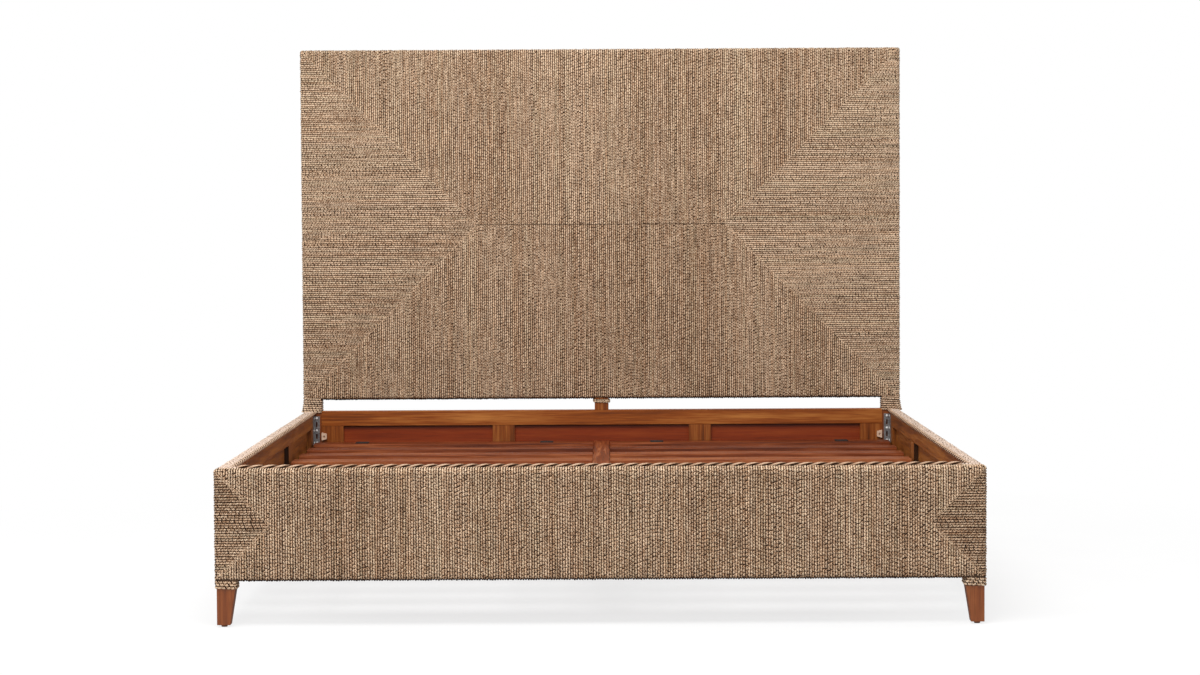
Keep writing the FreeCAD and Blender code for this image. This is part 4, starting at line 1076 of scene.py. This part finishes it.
# %% Hand out the finishes
BY_NAME = {
    "ledger_left": honey[1],
    "ledger_right": honey[1],
    "center_beam": beam_wood,
    "corner_angles": zinc,
    "angle_screws": zinc_painted_glint,
    "nylon_blocks": nylon,
    "glides": glide_plastic,
}


def finish_for(name):
    if name in BY_NAME:
        return BY_NAME[name]
    if name.startswith("slats"):
        return slat_wood
    if name.startswith("leveling_foot"):
        return foot_plastic
    if name.startswith("side_"):
        return inner[1 if name.endswith(("_rail", "_panels")) else 2]
    if name.endswith("_panels"):
        return red_panel if name.startswith("head_") else plywood
    if name.endswith("_rail") or name.startswith("ledger"):
        return honey[0]
    if "_post_" in name and "headboard" not in name:
        return post_wood
    return honey[2]


for name, node in frame["nodes"].items():
    node.data.materials.clear()
    node.data.materials.append(finish_for(name))
print("finished", len(frame["nodes"]), "construction nodes")

# %% [markdown]
# ## Studio
# The bed stands on a plain pale floor in soft light, and the background is white. The world shows white to the
# camera and to reflections but lights the bed more gently. The floor fades to that white away from the bed, and
# near the bed it keeps the soft shadow.

# %% World
world = bpy.data.worlds.new("studio")
bpy.context.scene.world = world
world.use_nodes = True
sky = Finish("studio", world.node_tree)
backdrop = world.node_tree.nodes["Background"]
camera_ray, glossy_ray, clear_ray = (sky.ray(kind) for kind in ("Camera", "Glossy", "Transmission"))
seen = camera_ray.math("MAXIMUM", camera_ray, glossy_ray.math("MAXIMUM", glossy_ray, clear_ray))
WORLD_LIGHT = 0.34
sky.link(backdrop.inputs["Strength"], WORLD_LIGHT + seen * (1 - WORLD_LIGHT))
backdrop.inputs["Color"].default_value = (1.0, 1.0, 1.0, 1.0)

# %% Floor
FLOOR_REACH = 14.0
FLOOR_DROP = 0.0005


def pale_floor():
    finish = Finish("pale_floor")
    away = finish.node("ShaderNodeVectorMath", {"operation": "LENGTH"}, {0: finish.objects()}, "Value")
    grain = finish.noise(finish.objects(), 3.0, 2.0)
    looked_at = finish.ray("Camera")
    pale = finish.ramp(grain, (0.3, (0.86, 0.86, 0.86)), (0.7, (0.90, 0.90, 0.90)))
    finish.feed(Base_Color=finish.mix(looked_at, (0.5, 0.5, 0.5, 1.0), pale))
    finish.feed(Roughness=0.9)
    fade = finish.map_range(away, 1.0, 3.0, 0.72, 1.0)
    white = finish.node("ShaderNodeEmission", None, {"Color": (1.0, 1.0, 1.0, 1.0), "Strength": 1.0})
    lit = Value(finish, finish.shader.outputs[0])
    mixed = finish.node("ShaderNodeMixShader", None, {0: fade * looked_at, 1: lit, 2: white})
    output = finish.tree.nodes["Material Output"]
    finish.link(output.inputs["Surface"], mixed)
    return finish.material


floor_shape = bmesh.new()
bmesh.ops.create_grid(floor_shape, x_segments=2, y_segments=2, size=FLOOR_REACH)
bmesh.ops.translate(floor_shape, verts=floor_shape.verts, vec=(0, 0, -FLOOR_DROP))
floor_mesh = mesh_from(floor_shape, "floor")
floor_mesh.materials.append(pale_floor())
floor = add_object("floor", floor_mesh)


# %% Lamps
def soft_lamp(name, place, target, width, height, power):
    data = bpy.data.lights.new(name, "AREA")
    data.shape = "RECTANGLE"
    data.size = width
    data.size_y = height
    data.energy = power
    lamp = add_object(name, data)
    lamp.location = place
    lamp.rotation_euler = (Vector(target) - Vector(place)).to_track_quat("-Z", "Y").to_euler()
    lamp.visible_camera = False
    lamp.visible_glossy = False


soft_lamp("overhead_lamp", (-0.6, -2.6, 4.3), (0.0, 0.6, 0.8), 3.0, 2.2, 205.0)
soft_lamp("front_lamp", (-1.8, -7.5, 3.4), (0.0, 0.5, 1.0), 3.5, 2.5, 192.0)
soft_lamp("back_lamp", (0.0, 7.0, 3.2), (0.0, 1.0, 0.8), 4.0, 2.5, 170.0)
for side in (-1, 1):
    soft_lamp(f"side_lamp_{side + 2}", (6.5 * side, 0.5, 2.6), (0.0, 0.0, 0.3), 3.0, 2.0, 110.0)
print("lit by five soft lamps")

# %% [markdown]
# ## Camera
# The camera was found by fitting the straight edges of the bed to the photograph: a long lens a good eight metres
# away, a little above the height of a table, looking slightly down.

# %% Camera
CAMERA_PLACE = (0.02543, -8.20001, 1.10992)
CAMERA_YAW, CAMERA_PITCH, CAMERA_ROLL = 0.00323, 0.04527, -0.00538
CAMERA_LENS = 78.608
lens = bpy.data.cameras.new("photo_camera")
lens.sensor_width = 36.0
lens.lens = CAMERA_LENS
camera = add_object("photo_camera", lens)
camera.matrix_world = (
    Matrix.Translation(CAMERA_PLACE)
    @ Matrix.Rotation(CAMERA_YAW, 4, "Z")
    @ Matrix.Rotation(math.pi / 2 - CAMERA_PITCH, 4, "X")
    @ Matrix.Rotation(CAMERA_ROLL, 4, "Z")
)
bpy.context.scene.camera = camera
bpy.context.scene.view_settings.view_transform = "Standard"
